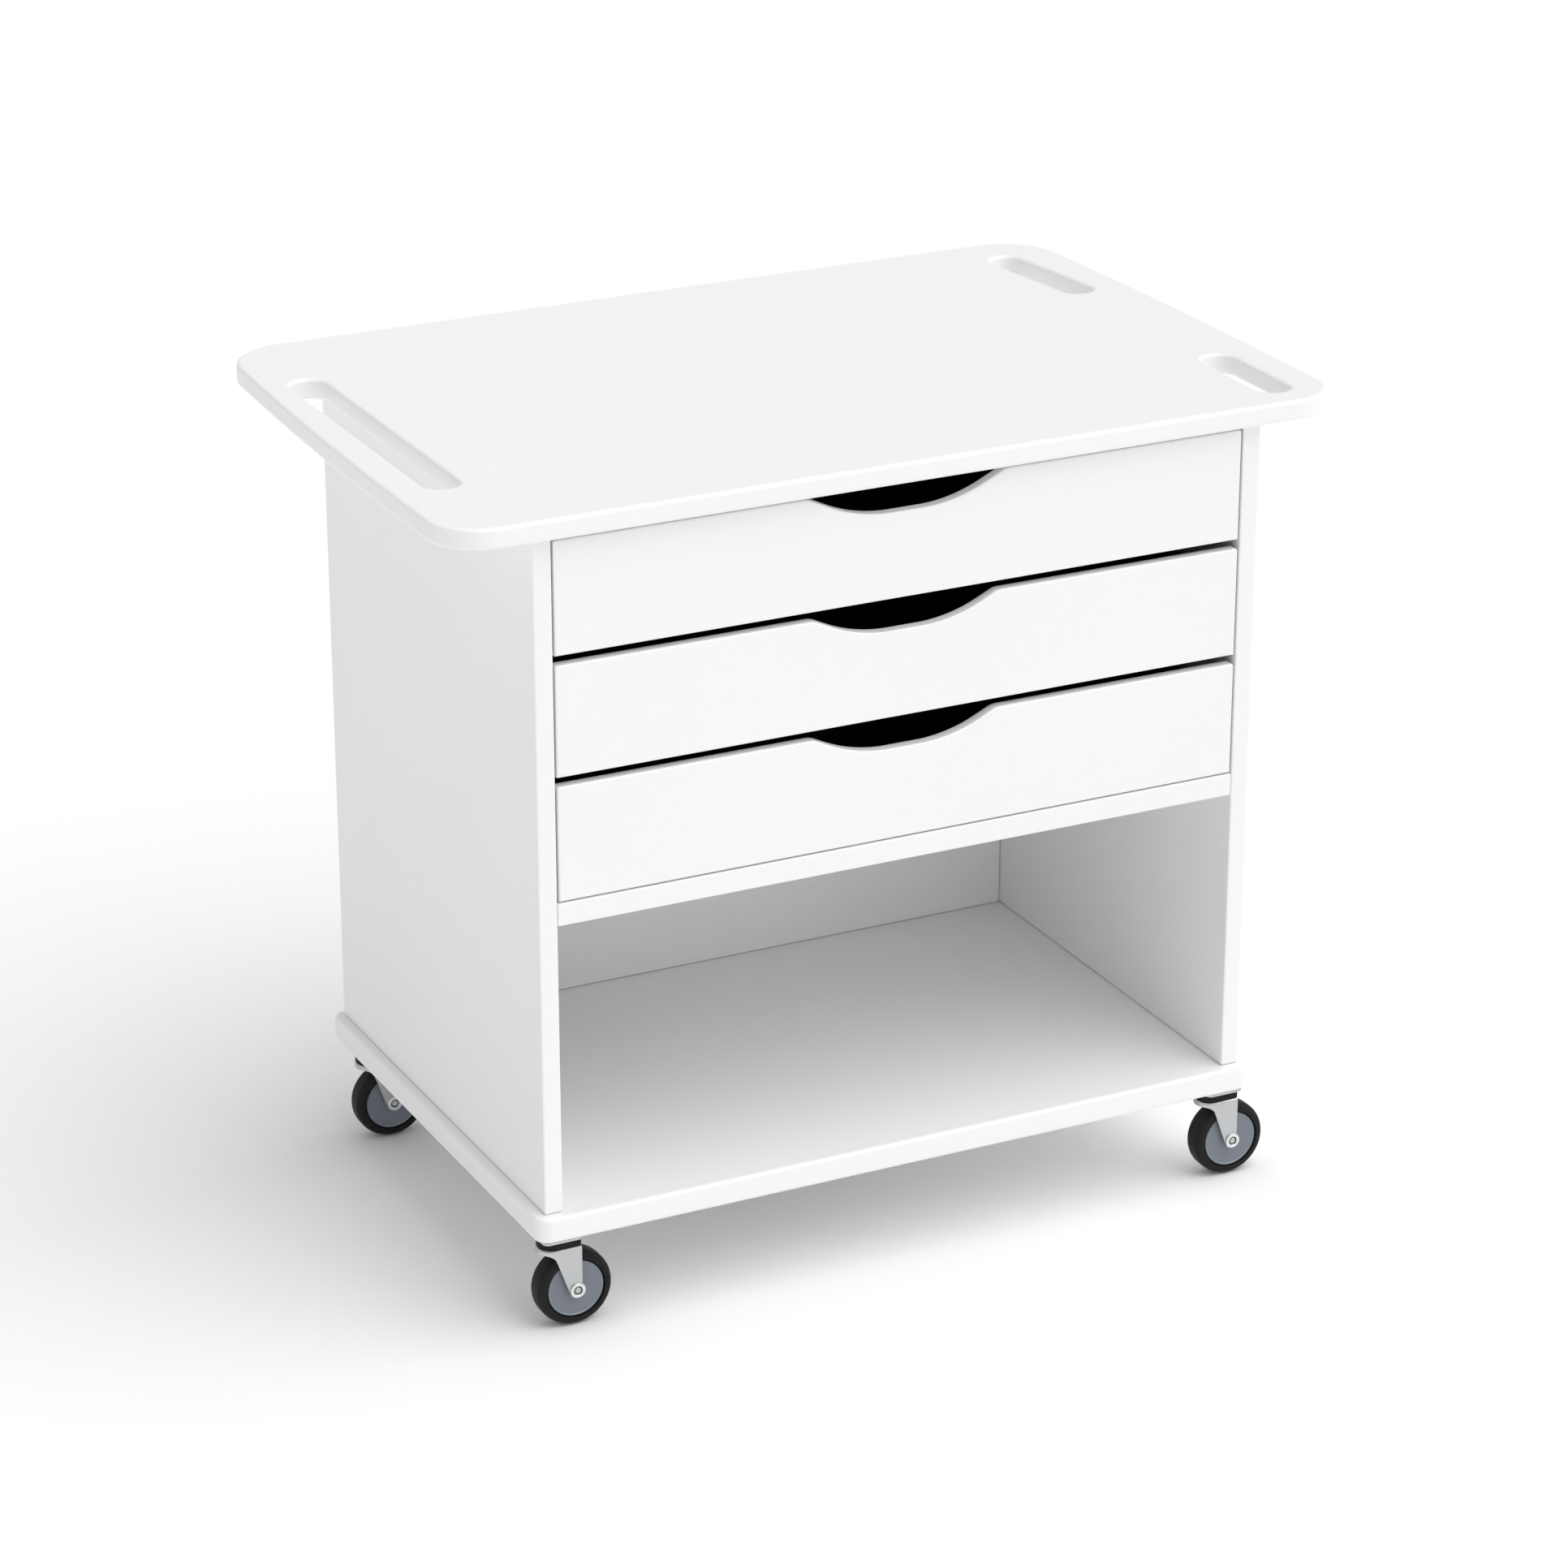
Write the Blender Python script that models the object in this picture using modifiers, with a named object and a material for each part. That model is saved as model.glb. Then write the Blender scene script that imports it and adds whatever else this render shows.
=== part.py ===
"""Rolling tool chest: a board cabinet on four swivel casters, with a wide top that has hand slots,
three full-extension drawers with scooped fronts, and an open bay under them.

Metres, +Z up, front towards -Y, standing on z = 0 with the top's plan centre on the Z axis.
"""

import math

import bmesh
import bpy
from mathutils import Matrix, Vector

# Clearances between pieces
TOUCH_GAP = 0.0003
RUNNING_GAP = 0.0006
WELD_DISTANCE = 0.00001

# Facets along each arc
TOP_CORNER_STEPS = 8
TOP_BOW_STEPS = 6
SLOT_END_STEPS = 5
BASE_CORNER_STEPS = 5
FRONT_CORNER_STEPS = 3
SCOOP_STEPS = 6
TYRE_STEPS = 32
HUB_STEPS = 24
AXLE_STEPS = 20
KINGPIN_STEPS = 16
PLATE_HOLE_STEPS = 10
PLATE_CORNER_STEPS = 3
FORK_BEND_STEPS = 8
FORK_NECK_STEPS = 4

# Cabinet boards
BODY_WIDTH = 0.730
BODY_DEPTH = 0.488
SIDE_THICKNESS = 0.018
SHELF_THICKNESS = 0.022
BACK_THICKNESS = 0.012
BACK_INSET = 0.032
BOARD_EDGE_RADIUS = 0.0018
BAY_HEIGHT = 0.282

BASE_THICKNESS = 0.025
BASE_LIP = 0.010
BASE_CORNER_RADIUS = 0.014
BASE_EDGE_RADIUS = 0.004

# Top board and its hand slots
TOP_THICKNESS = 0.020
TOP_SIDE_OVERHANG = 0.0835
TOP_FRONT_OVERHANG = 0.013
TOP_REAR_OVERHANG = 0.081
TOP_FRONT_CORNER_RADIUS = 0.050
TOP_REAR_CORNER_RADIUS = 0.060
TOP_BOW_START = -0.170
TOP_BOW_RADIUS = 7.0
TOP_EDGE_RADIUS = 0.004
SLOT_WIDTH = 0.034
LEFT_SLOT_RIM = 0.033
RIGHT_SLOT_RIM = 0.0355
REAR_SLOT_INSET = 0.0125
REAR_SLOT_TILT = math.radians(7)
LEFT_SLOT_LENGTH = 0.348
REAR_SLOT_LENGTH = 0.149
FRONT_SLOT_LENGTH = 0.127
REAR_SLOT_SETBACK = 0.046
FRONT_SLOT_SETBACK = 0.030

# Drawer fronts, from the top drawer down
FRONT_HEIGHTS = {"upper": 0.1062, "middle": 0.1048, "lower": 0.1092}
FRONT_THICKNESS = 0.012
FRONT_EDGE_RADIUS = 0.0018
FRONT_CORNER_RADIUS = 0.0025
FRONT_SIDE_REVEAL = 0.002
FRONT_TOP_REVEAL = 0.005
FRONT_BOTTOM_REVEAL = 0.0015
FRONT_GAP = 0.0089
SCOOP_DEPTHS = {"upper": 0.0245, "middle": 0.0215, "lower": 0.0215}
SCOOP_FLAT = 0.030
SCOOP_BOWL_RADIUS = 0.145
SCOOP_SLOPE = math.radians(25.5)
SCOOP_FILLET = 0.020

# Drawer boxes
BOX_SIDE_THICKNESS = 0.012
BOX_BOTTOM_THICKNESS = 0.006
BOX_TOP_DROP = 0.028
BOX_BOTTOM_RISE = 0.010
BOX_BOTTOM_RECESS = 0.008
BOX_REAR_CLEARANCE = 0.026
BOX_EDGE_RADIUS = 0.0008

# Three-part ball-bearing runners
RAIL_HEIGHT = 0.045
RAIL_DEPTH = 0.0127
RAIL_SHEET = 0.0012
RAIL_BALL_GAP = 0.0033
RAIL_LIP = 0.0034

# Casters
WHEEL_DIAMETER = 0.075
TYRE_WIDTH = 0.024
TYRE_THICKNESS = 0.008
TYRE_TREAD_FLAT = 0.008
TYRE_SHOULDER = 0.0055
TYRE_CREST_ANGLE = math.radians(45)
HUB_RECESS = 0.0008
HUB_RIM_WIDTH = 0.0012
HUB_BOSS_RADIUS = 0.009
AXLE_DIAMETER = 0.008
AXLE_HEAD_RADIUS = 0.0075
AXLE_HEAD_HEIGHT = 0.0016
AXLE_RING_WIDTH = 0.0021
AXLE_RING_DEPTH = 0.0008
AXLE_POINT_CHAMFER = 0.0008
CASTER_TRAIL = 0.019
CASTER_SETBACK_X = 0.026
CASTER_SETBACK_Y = 0.034
FORK_SHEET = 0.002
FORK_CROWN_CLEARANCE = 0.005
FORK_SKIRT = 0.005
FORK_FOOT_RADIUS = 0.0078
FORK_INNER_BEND = 0.0008
FORK_NECK = 0.011
FORK_NECK_END = math.radians(30)
FORK_HEEL_ANGLE = math.radians(205)
FORK_TAIL = 0.005
KINGPIN_RADIUS = 0.005
KINGPIN_HEAD_RADIUS = 0.008
KINGPIN_HEAD_HEIGHT = 0.0025
SWIVEL_RADIUS = 0.0145
SWIVEL_HEIGHT = 0.015
PLATE_WIDTH = 0.040
PLATE_DEPTH = 0.062
PLATE_THICKNESS = 0.0025
PLATE_CORNER_RADIUS = 0.006
PLATE_HOLE_RADIUS = 0.0026
PLATE_HOLE_EDGE = 0.0075

# Caster stack, from the floor up. The tyre rests on one of its flats.
WHEEL_RADIUS = WHEEL_DIAMETER / 2
AXLE_RADIUS = AXLE_DIAMETER / 2
AXLE_Z = WHEEL_RADIUS * math.cos(math.pi / TYRE_STEPS)
CROWN_BOTTOM = AXLE_Z + WHEEL_RADIUS + FORK_CROWN_CLEARANCE
CROWN_TOP = CROWN_BOTTOM + FORK_SHEET
SWIVEL_BOTTOM = CROWN_TOP + RUNNING_GAP
PLATE_BOTTOM = SWIVEL_BOTTOM + SWIVEL_HEIGHT
PLATE_TOP = PLATE_BOTTOM + PLATE_THICKNESS

# Levels of the cabinet
BASE_BOTTOM = PLATE_TOP + TOUCH_GAP
BASE_TOP = BASE_BOTTOM + BASE_THICKNESS
SHELF_BOTTOM = BASE_TOP + BAY_HEIGHT
SHELF_TOP = SHELF_BOTTOM + SHELF_THICKNESS
FRONT_GAPS = FRONT_TOP_REVEAL + FRONT_BOTTOM_REVEAL + FRONT_GAP * (len(FRONT_HEIGHTS) - 1)
TOP_BOTTOM = SHELF_TOP + sum(FRONT_HEIGHTS.values()) + FRONT_GAPS
TOP_TOP = TOP_BOTTOM + TOP_THICKNESS

# Plan of the cabinet
TOP_WIDTH = BODY_WIDTH + 2 * TOP_SIDE_OVERHANG
TOP_DEPTH = BODY_DEPTH + TOP_FRONT_OVERHANG + TOP_REAR_OVERHANG
BODY_FRONT = TOP_FRONT_OVERHANG - TOP_DEPTH / 2
BODY_BACK = BODY_FRONT + BODY_DEPTH
BODY_CENTRE_Y = (BODY_FRONT + BODY_BACK) / 2
INNER_WIDTH = BODY_WIDTH - 2 * SIDE_THICKNESS
BACK_FACE = BODY_BACK - BACK_INSET - BACK_THICKNESS

# Plan of a drawer
RAIL_SPACE = RAIL_DEPTH + 2 * TOUCH_GAP
BOX_WIDTH = INNER_WIDTH - 2 * RAIL_SPACE
BOX_FRONT = BODY_FRONT + FRONT_THICKNESS + TOUCH_GAP
BOX_BACK = BACK_FACE - BOX_REAR_CLEARANCE
BOX_DEPTH = BOX_BACK - BOX_FRONT
FRONT_WIDTH = INNER_WIDTH - 2 * FRONT_SIDE_REVEAL

# Wheel and fork across the axle
HUB_RADIUS = WHEEL_RADIUS - TYRE_THICKNESS - TOUCH_GAP
HUB_HALF_WIDTH = TYRE_WIDTH / 2 - RUNNING_GAP
HUB_BOSS_HALF_WIDTH = TYRE_WIDTH / 2 + TOUCH_GAP
HUB_BORE_RADIUS = AXLE_RADIUS + TOUCH_GAP
FORK_INNER_HALF = HUB_BOSS_HALF_WIDTH + RUNNING_GAP
FORK_OUTER_HALF = FORK_INNER_HALF + FORK_SHEET


def clear_scene():
    for item in list(bpy.data.objects):
        bpy.data.objects.remove(item, do_unlink=True)


def new_collection(name, hidden=False):
    collection = bpy.data.collections.new(name)
    collection.hide_render = hidden
    bpy.context.scene.collection.children.link(collection)
    return collection


def new_material(name, colour, roughness, metallic):
    material = bpy.data.materials.new(name)
    material.use_nodes = True
    shader = material.node_tree.nodes["Principled BSDF"]
    shader.inputs["Base Color"].default_value = (*colour, 1.0)
    shader.inputs["Roughness"].default_value = roughness
    shader.inputs["Metallic"].default_value = metallic
    material.diffuse_color = (*colour, 1.0)
    return material


clear_scene()
PARTS = new_collection("rolling_tool_chest")
CUTTERS = new_collection("cutters", hidden=True)

WHITE_BOARD = new_material("white_board", (0.87, 0.87, 0.88), 0.42, 0.0)
DARK_BOARD = new_material("dark_drawer_board", (0.02, 0.02, 0.022), 0.6, 0.0)
ZINC_STEEL = new_material("zinc_steel", (0.66, 0.67, 0.69), 0.32, 1.0)
GREY_PLASTIC = new_material("grey_plastic", (0.20, 0.22, 0.25), 0.45, 0.0)
BLACK_RUBBER = new_material("black_rubber", (0.02, 0.02, 0.021), 0.6, 0.0)


def new_object(name, data, material=None, parent=None, place=None, collection=None):
    """An object in a collection, at a place given in world axes, that follows its parent empty."""
    item = bpy.data.objects.new(name, data)
    (collection or PARTS).objects.link(item)
    if material:
        data.materials.clear()
        data.materials.append(material)
    world = place or Matrix.Identity(4)
    if parent:
        item.parent = parent
        world = parent.matrix_world.inverted() @ world
    item.matrix_basis = world
    bpy.context.view_layer.update()
    return item


def new_pivot(name, position, parent=None):
    """An empty on a joint's axis."""
    return new_object(name, None, parent=parent, place=Matrix.Translation(position))


def new_cutter(name, data, place=None):
    cutter = new_object(name, data, place=place, collection=CUTTERS)
    cutter.hide_render = True
    cutter.display_type = "WIRE"
    return cutter


def evaluated_mesh(item):
    """The object's mesh with its curve or modifiers worked out, welded and facing outwards."""
    bpy.context.view_layer.update()
    graph = bpy.context.evaluated_depsgraph_get()
    mesh = bpy.data.meshes.new_from_object(item.evaluated_get(graph))
    shape = bmesh.new()
    shape.from_mesh(mesh)
    bmesh.ops.remove_doubles(shape, verts=shape.verts, dist=WELD_DISTANCE)
    bmesh.ops.recalc_face_normals(shape, faces=shape.faces)
    shape.to_mesh(mesh)
    shape.free()
    return mesh


def arc(centre, radius, start, end, steps):
    """Points of an arc, its ends included; angles in radians from +X, counter-clockwise."""
    return [
        (
            centre[0] + radius * math.cos(start + (end - start) * step / steps),
            centre[1] + radius * math.sin(start + (end - start) * step / steps),
        )
        for step in range(steps + 1)
    ]


def rounded_rectangle(width, depth, radius, steps, centre=(0.0, 0.0)):
    outline = []
    for quarter, (side_x, side_y) in enumerate(((1, 1), (-1, 1), (-1, -1), (1, -1))):
        corner = (
            centre[0] + side_x * (width / 2 - radius),
            centre[1] + side_y * (depth / 2 - radius),
        )
        start = quarter * math.pi / 2
        outline += arc(corner, radius, start, start + math.pi / 2, steps)
    return outline


def circle(centre, radius, steps):
    return arc(centre, radius, 0, 2 * math.pi, steps)[:-1]


def flat_mesh(outlines, thickness, edge_radius=0.0, edge_steps=2):
    """A flat solid centred on z = 0: the first outline is its edge and the others are its holes."""
    curve = bpy.data.curves.new("outline", "CURVE")
    curve.dimensions = "2D"
    curve.fill_mode = "BOTH"
    curve.extrude = thickness / 2 - edge_radius
    curve.bevel_depth = edge_radius
    curve.bevel_resolution = edge_steps - 1
    curve.offset = -edge_radius
    for outline in outlines:
        spline = curve.splines.new("POLY")
        spline.points.add(len(outline) - 1)
        for point, (x, y) in zip(spline.points, outline):
            point.co = (x, y, 0.0, 1.0)
        spline.use_cyclic_u = True
    guide = bpy.data.objects.new("outline", curve)
    CUTTERS.objects.link(guide)
    mesh = evaluated_mesh(guide)
    bpy.data.objects.remove(guide)
    return mesh


def turned(item_name, profile, steps, closed, material=None, parent=None, place=None, cutter=False):
    """A profile of (radius, height) points turned about local Z. It runs down its outer side."""
    mesh = bpy.data.meshes.new(item_name)
    count = len(profile)
    edges = [(index, (index + 1) % count) for index in range(count if closed else count - 1)]
    mesh.from_pydata([(radius, 0.0, height) for radius, height in profile], edges, [])
    item = new_object(item_name, mesh, material, parent, place, CUTTERS if cutter else PARTS)
    item.hide_render = cutter
    screw = item.modifiers.new("turn", "SCREW")
    screw.steps = steps
    screw.render_steps = steps
    screw.use_merge_vertices = True
    screw.merge_threshold = WELD_DISTANCE
    return item


def boolean(item, cutter, operation):
    modifier = item.modifiers.new(operation.lower(), "BOOLEAN")
    modifier.operation = operation
    modifier.object = cutter
    modifier.solver = "EXACT"


def round_edges(item, radius, segments=2):
    modifier = item.modifiers.new("rounded_edges", "BEVEL")
    modifier.width = radius
    modifier.segments = segments
    modifier.limit_method = "ANGLE"


def shade_round(item, angle=35):
    item.data.shade_smooth()
    item.data.set_sharp_from_angle(angle=math.radians(angle))


def board(name, low, high, material, parent=None, edge_radius=BOARD_EDGE_RADIUS, segments=1):
    """A rectangular board between two corners, with eased edges."""
    low, high = Vector(low), Vector(high)
    size = high - low
    mesh = bpy.data.meshes.new(name)
    shape = bmesh.new()
    bmesh.ops.create_cube(shape, size=1.0, matrix=Matrix.Diagonal((*size, 1.0)))
    shape.to_mesh(mesh)
    shape.free()
    item = new_object(name, mesh, material, parent, Matrix.Translation((low + high) / 2))
    round_edges(item, edge_radius, segments)
    return item


def slot_outline(centre, length, tilt=0.0):
    """A round-ended hand slot that runs along Y, turned about its centre."""
    turn = Matrix.Rotation(tilt, 2)
    outline = rounded_rectangle(SLOT_WIDTH, length, SLOT_WIDTH / 2, SLOT_END_STEPS)
    return [tuple(Vector(centre) + turn @ Vector(point)) for point in outline]


def top_outline():
    """The top board in plan: its sides bow gently inwards towards the rounder rear corners."""
    half_width, half_depth = TOP_WIDTH / 2, TOP_DEPTH / 2
    bow_x = half_width - TOP_BOW_RADIUS
    rear_y = half_depth - TOP_REAR_CORNER_RADIUS
    swing = math.asin((rear_y - TOP_BOW_START) / (TOP_BOW_RADIUS - TOP_REAR_CORNER_RADIUS))
    rear_x = bow_x + (TOP_BOW_RADIUS - TOP_REAR_CORNER_RADIUS) * math.cos(swing)
    front_x = half_width - TOP_FRONT_CORNER_RADIUS
    front_y = TOP_FRONT_CORNER_RADIUS - half_depth
    right = arc((front_x, front_y), TOP_FRONT_CORNER_RADIUS, -math.pi / 2, 0.0, TOP_CORNER_STEPS)
    right += arc((bow_x, TOP_BOW_START), TOP_BOW_RADIUS, 0.0, swing, TOP_BOW_STEPS)[:-1]
    right += arc((rear_x, rear_y), TOP_REAR_CORNER_RADIUS, swing, math.pi / 2, TOP_CORNER_STEPS)
    return right + [(-x, y) for x, y in reversed(right)]


def make_tabletop():
    left_x = -TOP_WIDTH / 2 + LEFT_SLOT_RIM + SLOT_WIDTH / 2
    right_x = TOP_WIDTH / 2 - RIGHT_SLOT_RIM - SLOT_WIDTH / 2
    rear_y = TOP_DEPTH / 2 - REAR_SLOT_SETBACK - REAR_SLOT_LENGTH / 2
    front_y = -TOP_DEPTH / 2 + FRONT_SLOT_SETBACK + FRONT_SLOT_LENGTH / 2
    outlines = [
        top_outline(),
        slot_outline((left_x, 0.0), LEFT_SLOT_LENGTH),
        slot_outline((right_x - REAR_SLOT_INSET, rear_y), REAR_SLOT_LENGTH, REAR_SLOT_TILT),
        slot_outline((right_x, front_y), FRONT_SLOT_LENGTH),
    ]
    mesh = flat_mesh(outlines, TOP_THICKNESS, TOP_EDGE_RADIUS)
    place = Matrix.Translation((0.0, 0.0, (TOP_BOTTOM + TOP_TOP) / 2))
    shade_round(new_object("tabletop", mesh, WHITE_BOARD, place=place))


def make_base_panel():
    outline = rounded_rectangle(
        BODY_WIDTH + 2 * BASE_LIP, BODY_DEPTH + 2 * BASE_LIP, BASE_CORNER_RADIUS, BASE_CORNER_STEPS
    )
    mesh = flat_mesh([outline], BASE_THICKNESS, BASE_EDGE_RADIUS)
    place = Matrix.Translation((0.0, BODY_CENTRE_Y, (BASE_BOTTOM + BASE_TOP) / 2))
    shade_round(new_object("base_panel", mesh, WHITE_BOARD, place=place))


def make_carcass():
    low_z = BASE_TOP + TOUCH_GAP
    high_z = TOP_BOTTOM - TOUCH_GAP
    inner_x = INNER_WIDTH / 2 - TOUCH_GAP
    for name, side in (("side_panel_left", -1), ("side_panel_right", 1)):
        faces = sorted((side * INNER_WIDTH / 2, side * BODY_WIDTH / 2))
        board(name, (faces[0], BODY_FRONT, low_z), (faces[1], BODY_BACK, high_z), WHITE_BOARD)
    board(
        "fixed_shelf",
        (-inner_x, BODY_FRONT, SHELF_BOTTOM),
        (inner_x, BACK_FACE - TOUCH_GAP, SHELF_TOP),
        WHITE_BOARD,
    )
    board(
        "back_panel",
        (-inner_x, BACK_FACE, low_z),
        (inner_x, BACK_FACE + BACK_THICKNESS, high_z),
        WHITE_BOARD,
        edge_radius=BOX_EDGE_RADIUS,
    )


def front_outline(height, scoop_depth):
    """A drawer front seen from the front, its origin at the middle of its lower edge."""
    half = FRONT_WIDTH / 2
    corner = FRONT_CORNER_RADIUS
    both_radii = SCOOP_BOWL_RADIUS + SCOOP_FILLET
    straight_drop = scoop_depth - both_radii * (1 - math.cos(SCOOP_SLOPE))
    fillet_x = SCOOP_FLAT / 2 + both_radii * math.sin(SCOOP_SLOPE)
    fillet_x += straight_drop / math.tan(SCOOP_SLOPE)
    fillet = (fillet_x, height - SCOOP_FILLET)
    bowl = (SCOOP_FLAT / 2, height - scoop_depth + SCOOP_BOWL_RADIUS)
    down = -math.pi / 2
    up = math.pi / 2
    steps = FRONT_CORNER_STEPS
    right = [(half, 0.0)]
    right += arc((half - corner, height - corner), corner, 0.0, up, steps)
    right += arc(fillet, SCOOP_FILLET, up, up + SCOOP_SLOPE, steps)
    right += arc(bowl, SCOOP_BOWL_RADIUS, down + SCOOP_SLOPE, down, SCOOP_STEPS)
    return right + [(-x, z) for x, z in reversed(right)]


def rail_sections():
    """Sheet centre lines of the three runner members: distance from the wall, and height."""
    half_sheet = RAIL_SHEET / 2
    outer_top = RAIL_HEIGHT / 2 - half_sheet
    middle_top = outer_top - RAIL_LIP - RAIL_SHEET - half_sheet / 2
    inner_top = middle_top - RAIL_BALL_GAP - RAIL_SHEET
    lip_x = RAIL_DEPTH - 2 * RAIL_SHEET
    middle_x = RAIL_SHEET + RAIL_BALL_GAP
    inner_x = middle_x + 2 * RAIL_SHEET
    face_x = RAIL_DEPTH - half_sheet
    lip_z = outer_top - RAIL_LIP
    return {
        "cabinet_rail": [
            (lip_x, lip_z),
            (lip_x, outer_top),
            (half_sheet, outer_top),
            (half_sheet, -outer_top),
            (lip_x, -outer_top),
            (lip_x, -lip_z),
        ],
        "middle_rail": [
            (lip_x, middle_top),
            (middle_x, middle_top),
            (middle_x, -middle_top),
            (lip_x, -middle_top),
        ],
        "drawer_rail": [
            (inner_x, inner_top),
            (face_x, inner_top),
            (face_x, -inner_top),
            (inner_x, -inner_top),
        ],
    }


def make_rail(name, section, side, centre_z, parent):
    """One member of a runner: its section drawn as an open line, drawn out along Y, then thickened."""
    curve = bpy.data.curves.new(name, "CURVE")
    curve.dimensions = "3D"
    curve.extrude = BOX_DEPTH / 2
    spline = curve.splines.new("POLY")
    spline.points.add(len(section) - 1)
    for point, (x, z) in zip(spline.points, section):
        point.co = (-side * x, z, 0.0, 1.0)
    guide = bpy.data.objects.new(name, curve)
    CUTTERS.objects.link(guide)
    mesh = evaluated_mesh(guide)
    bpy.data.objects.remove(guide)
    wall_x = side * (INNER_WIDTH / 2 - TOUCH_GAP)
    place = Matrix.Translation((wall_x, (BOX_FRONT + BOX_BACK) / 2, centre_z))
    place @= Matrix.Rotation(math.pi / 2, 4, "X")
    rail = new_object(name, mesh, ZINC_STEEL, parent, place)
    solidify = rail.modifiers.new("sheet", "SOLIDIFY")
    solidify.thickness = RAIL_SHEET
    solidify.offset = 0.0
    solidify.use_even_offset = True


def make_drawer(level, bottom_z):
    height = FRONT_HEIGHTS[level]
    drawer = new_pivot(f"drawer_{level}", (0.0, BODY_FRONT, bottom_z + height / 2))
    runners = new_pivot(f"runners_{level}", (0.0, BODY_FRONT, bottom_z + height / 2))

    outline = front_outline(height, SCOOP_DEPTHS[level])
    front = flat_mesh([outline], FRONT_THICKNESS, FRONT_EDGE_RADIUS)
    place = Matrix.Translation((0.0, BODY_FRONT + FRONT_THICKNESS / 2, bottom_z))
    place @= Matrix.Rotation(math.pi / 2, 4, "X")
    shade_round(new_object(f"drawer_{level}_front", front, WHITE_BOARD, drawer, place))

    side_low = bottom_z + BOX_BOTTOM_RISE
    side_high = bottom_z + height - BOX_TOP_DROP
    outer = BOX_WIDTH / 2
    inner = outer - BOX_SIDE_THICKNESS
    for name, side in (("left", -1), ("right", 1)):
        faces = sorted((side * inner, side * outer))
        board(
            f"drawer_{level}_side_{name}",
            (faces[0], BOX_FRONT, side_low),
            (faces[1], BOX_BACK, side_high),
            DARK_BOARD,
            drawer,
            BOX_EDGE_RADIUS,
        )
    between = inner - TOUCH_GAP
    back_front = BOX_BACK - BOX_SIDE_THICKNESS
    board(
        f"drawer_{level}_back",
        (-between, back_front, side_low),
        (between, BOX_BACK, side_high),
        DARK_BOARD,
        drawer,
        BOX_EDGE_RADIUS,
    )
    floor_low = side_low + BOX_BOTTOM_RECESS
    board(
        f"drawer_{level}_bottom",
        (-between, BOX_FRONT, floor_low),
        (between, back_front - TOUCH_GAP, floor_low + BOX_BOTTOM_THICKNESS),
        DARK_BOARD,
        drawer,
        BOX_EDGE_RADIUS,
    )
    owners = {"cabinet_rail": None, "middle_rail": runners, "drawer_rail": drawer}
    for name, side in (("left", -1), ("right", 1)):
        for member, section in rail_sections().items():
            rail_name = f"drawer_{level}_{name}_{member}"
            make_rail(rail_name, section, side, (side_low + side_high) / 2, owners[member])


def mirrored_profile(half):
    """A closed (radius, height) loop from its upper half, given from the bore outwards."""
    return half + [(radius, -height) for radius, height in reversed(half)]


def tyre_profile():
    half_width = TYRE_WIDTH / 2
    inner = WHEEL_RADIUS - TYRE_THICKNESS
    shoulder = WHEEL_RADIUS - TYRE_SHOULDER
    flat = TYRE_TREAD_FLAT / 2
    bulge = flat + (half_width - flat) * math.sin(TYRE_CREST_ANGLE)
    crest = shoulder + TYRE_SHOULDER * math.cos(TYRE_CREST_ANGLE)
    return mirrored_profile(
        [(inner, half_width), (shoulder, half_width), (crest, bulge), (WHEEL_RADIUS, flat)]
    )


def hub_profile():
    face = HUB_HALF_WIDTH - HUB_RECESS
    return mirrored_profile(
        [
            (HUB_BORE_RADIUS, HUB_BOSS_HALF_WIDTH),
            (HUB_BOSS_RADIUS, HUB_BOSS_HALF_WIDTH),
            (HUB_BOSS_RADIUS + HUB_RECESS, face),
            (HUB_RADIUS - HUB_RIM_WIDTH - HUB_RECESS, face),
            (HUB_RADIUS - HUB_RIM_WIDTH, HUB_HALF_WIDTH),
            (HUB_RADIUS, HUB_HALF_WIDTH),
        ]
    )


def axle_profile():
    """A riveted axle: a plain pin with a ringed head outside each fork leg."""
    seat = FORK_OUTER_HALF + TOUCH_GAP
    face = seat + AXLE_HEAD_HEIGHT
    ring = AXLE_HEAD_RADIUS - AXLE_RING_WIDTH
    floor = face - AXLE_RING_DEPTH
    upper = [
        (0.0, face),
        (AXLE_RADIUS - AXLE_POINT_CHAMFER, face),
        (AXLE_RADIUS, floor),
        (ring, floor),
        (ring, face),
        (AXLE_HEAD_RADIUS, face),
        (AXLE_HEAD_RADIUS, seat),
        (AXLE_RADIUS, seat),
    ]
    return upper + [(radius, -height) for radius, height in reversed(upper)]


def fork_outline():
    """A fork leg seen from the side, with its origin on the floor under the swivel axis."""
    top = CROWN_TOP + FORK_SHEET
    skirt = CROWN_TOP - FORK_SKIRT
    nose = -FORK_OUTER_HALF - FORK_SHEET
    tail = CASTER_TRAIL + FORK_TAIL
    foot = (CASTER_TRAIL, AXLE_Z)
    lift = math.asin(FORK_TAIL / FORK_FOOT_RADIUS)
    outline = [(nose, top), (nose, skirt)]
    neck = (-FORK_NECK, skirt - FORK_NECK)
    trailing_edge = 5 * math.pi / 2 - lift
    outline += arc(neck, FORK_NECK, math.pi / 2, FORK_NECK_END, FORK_NECK_STEPS)
    outline += arc(foot, FORK_FOOT_RADIUS, FORK_HEEL_ANGLE, trailing_edge, FORK_BEND_STEPS)
    outline.append((tail, top))
    return outline


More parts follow.
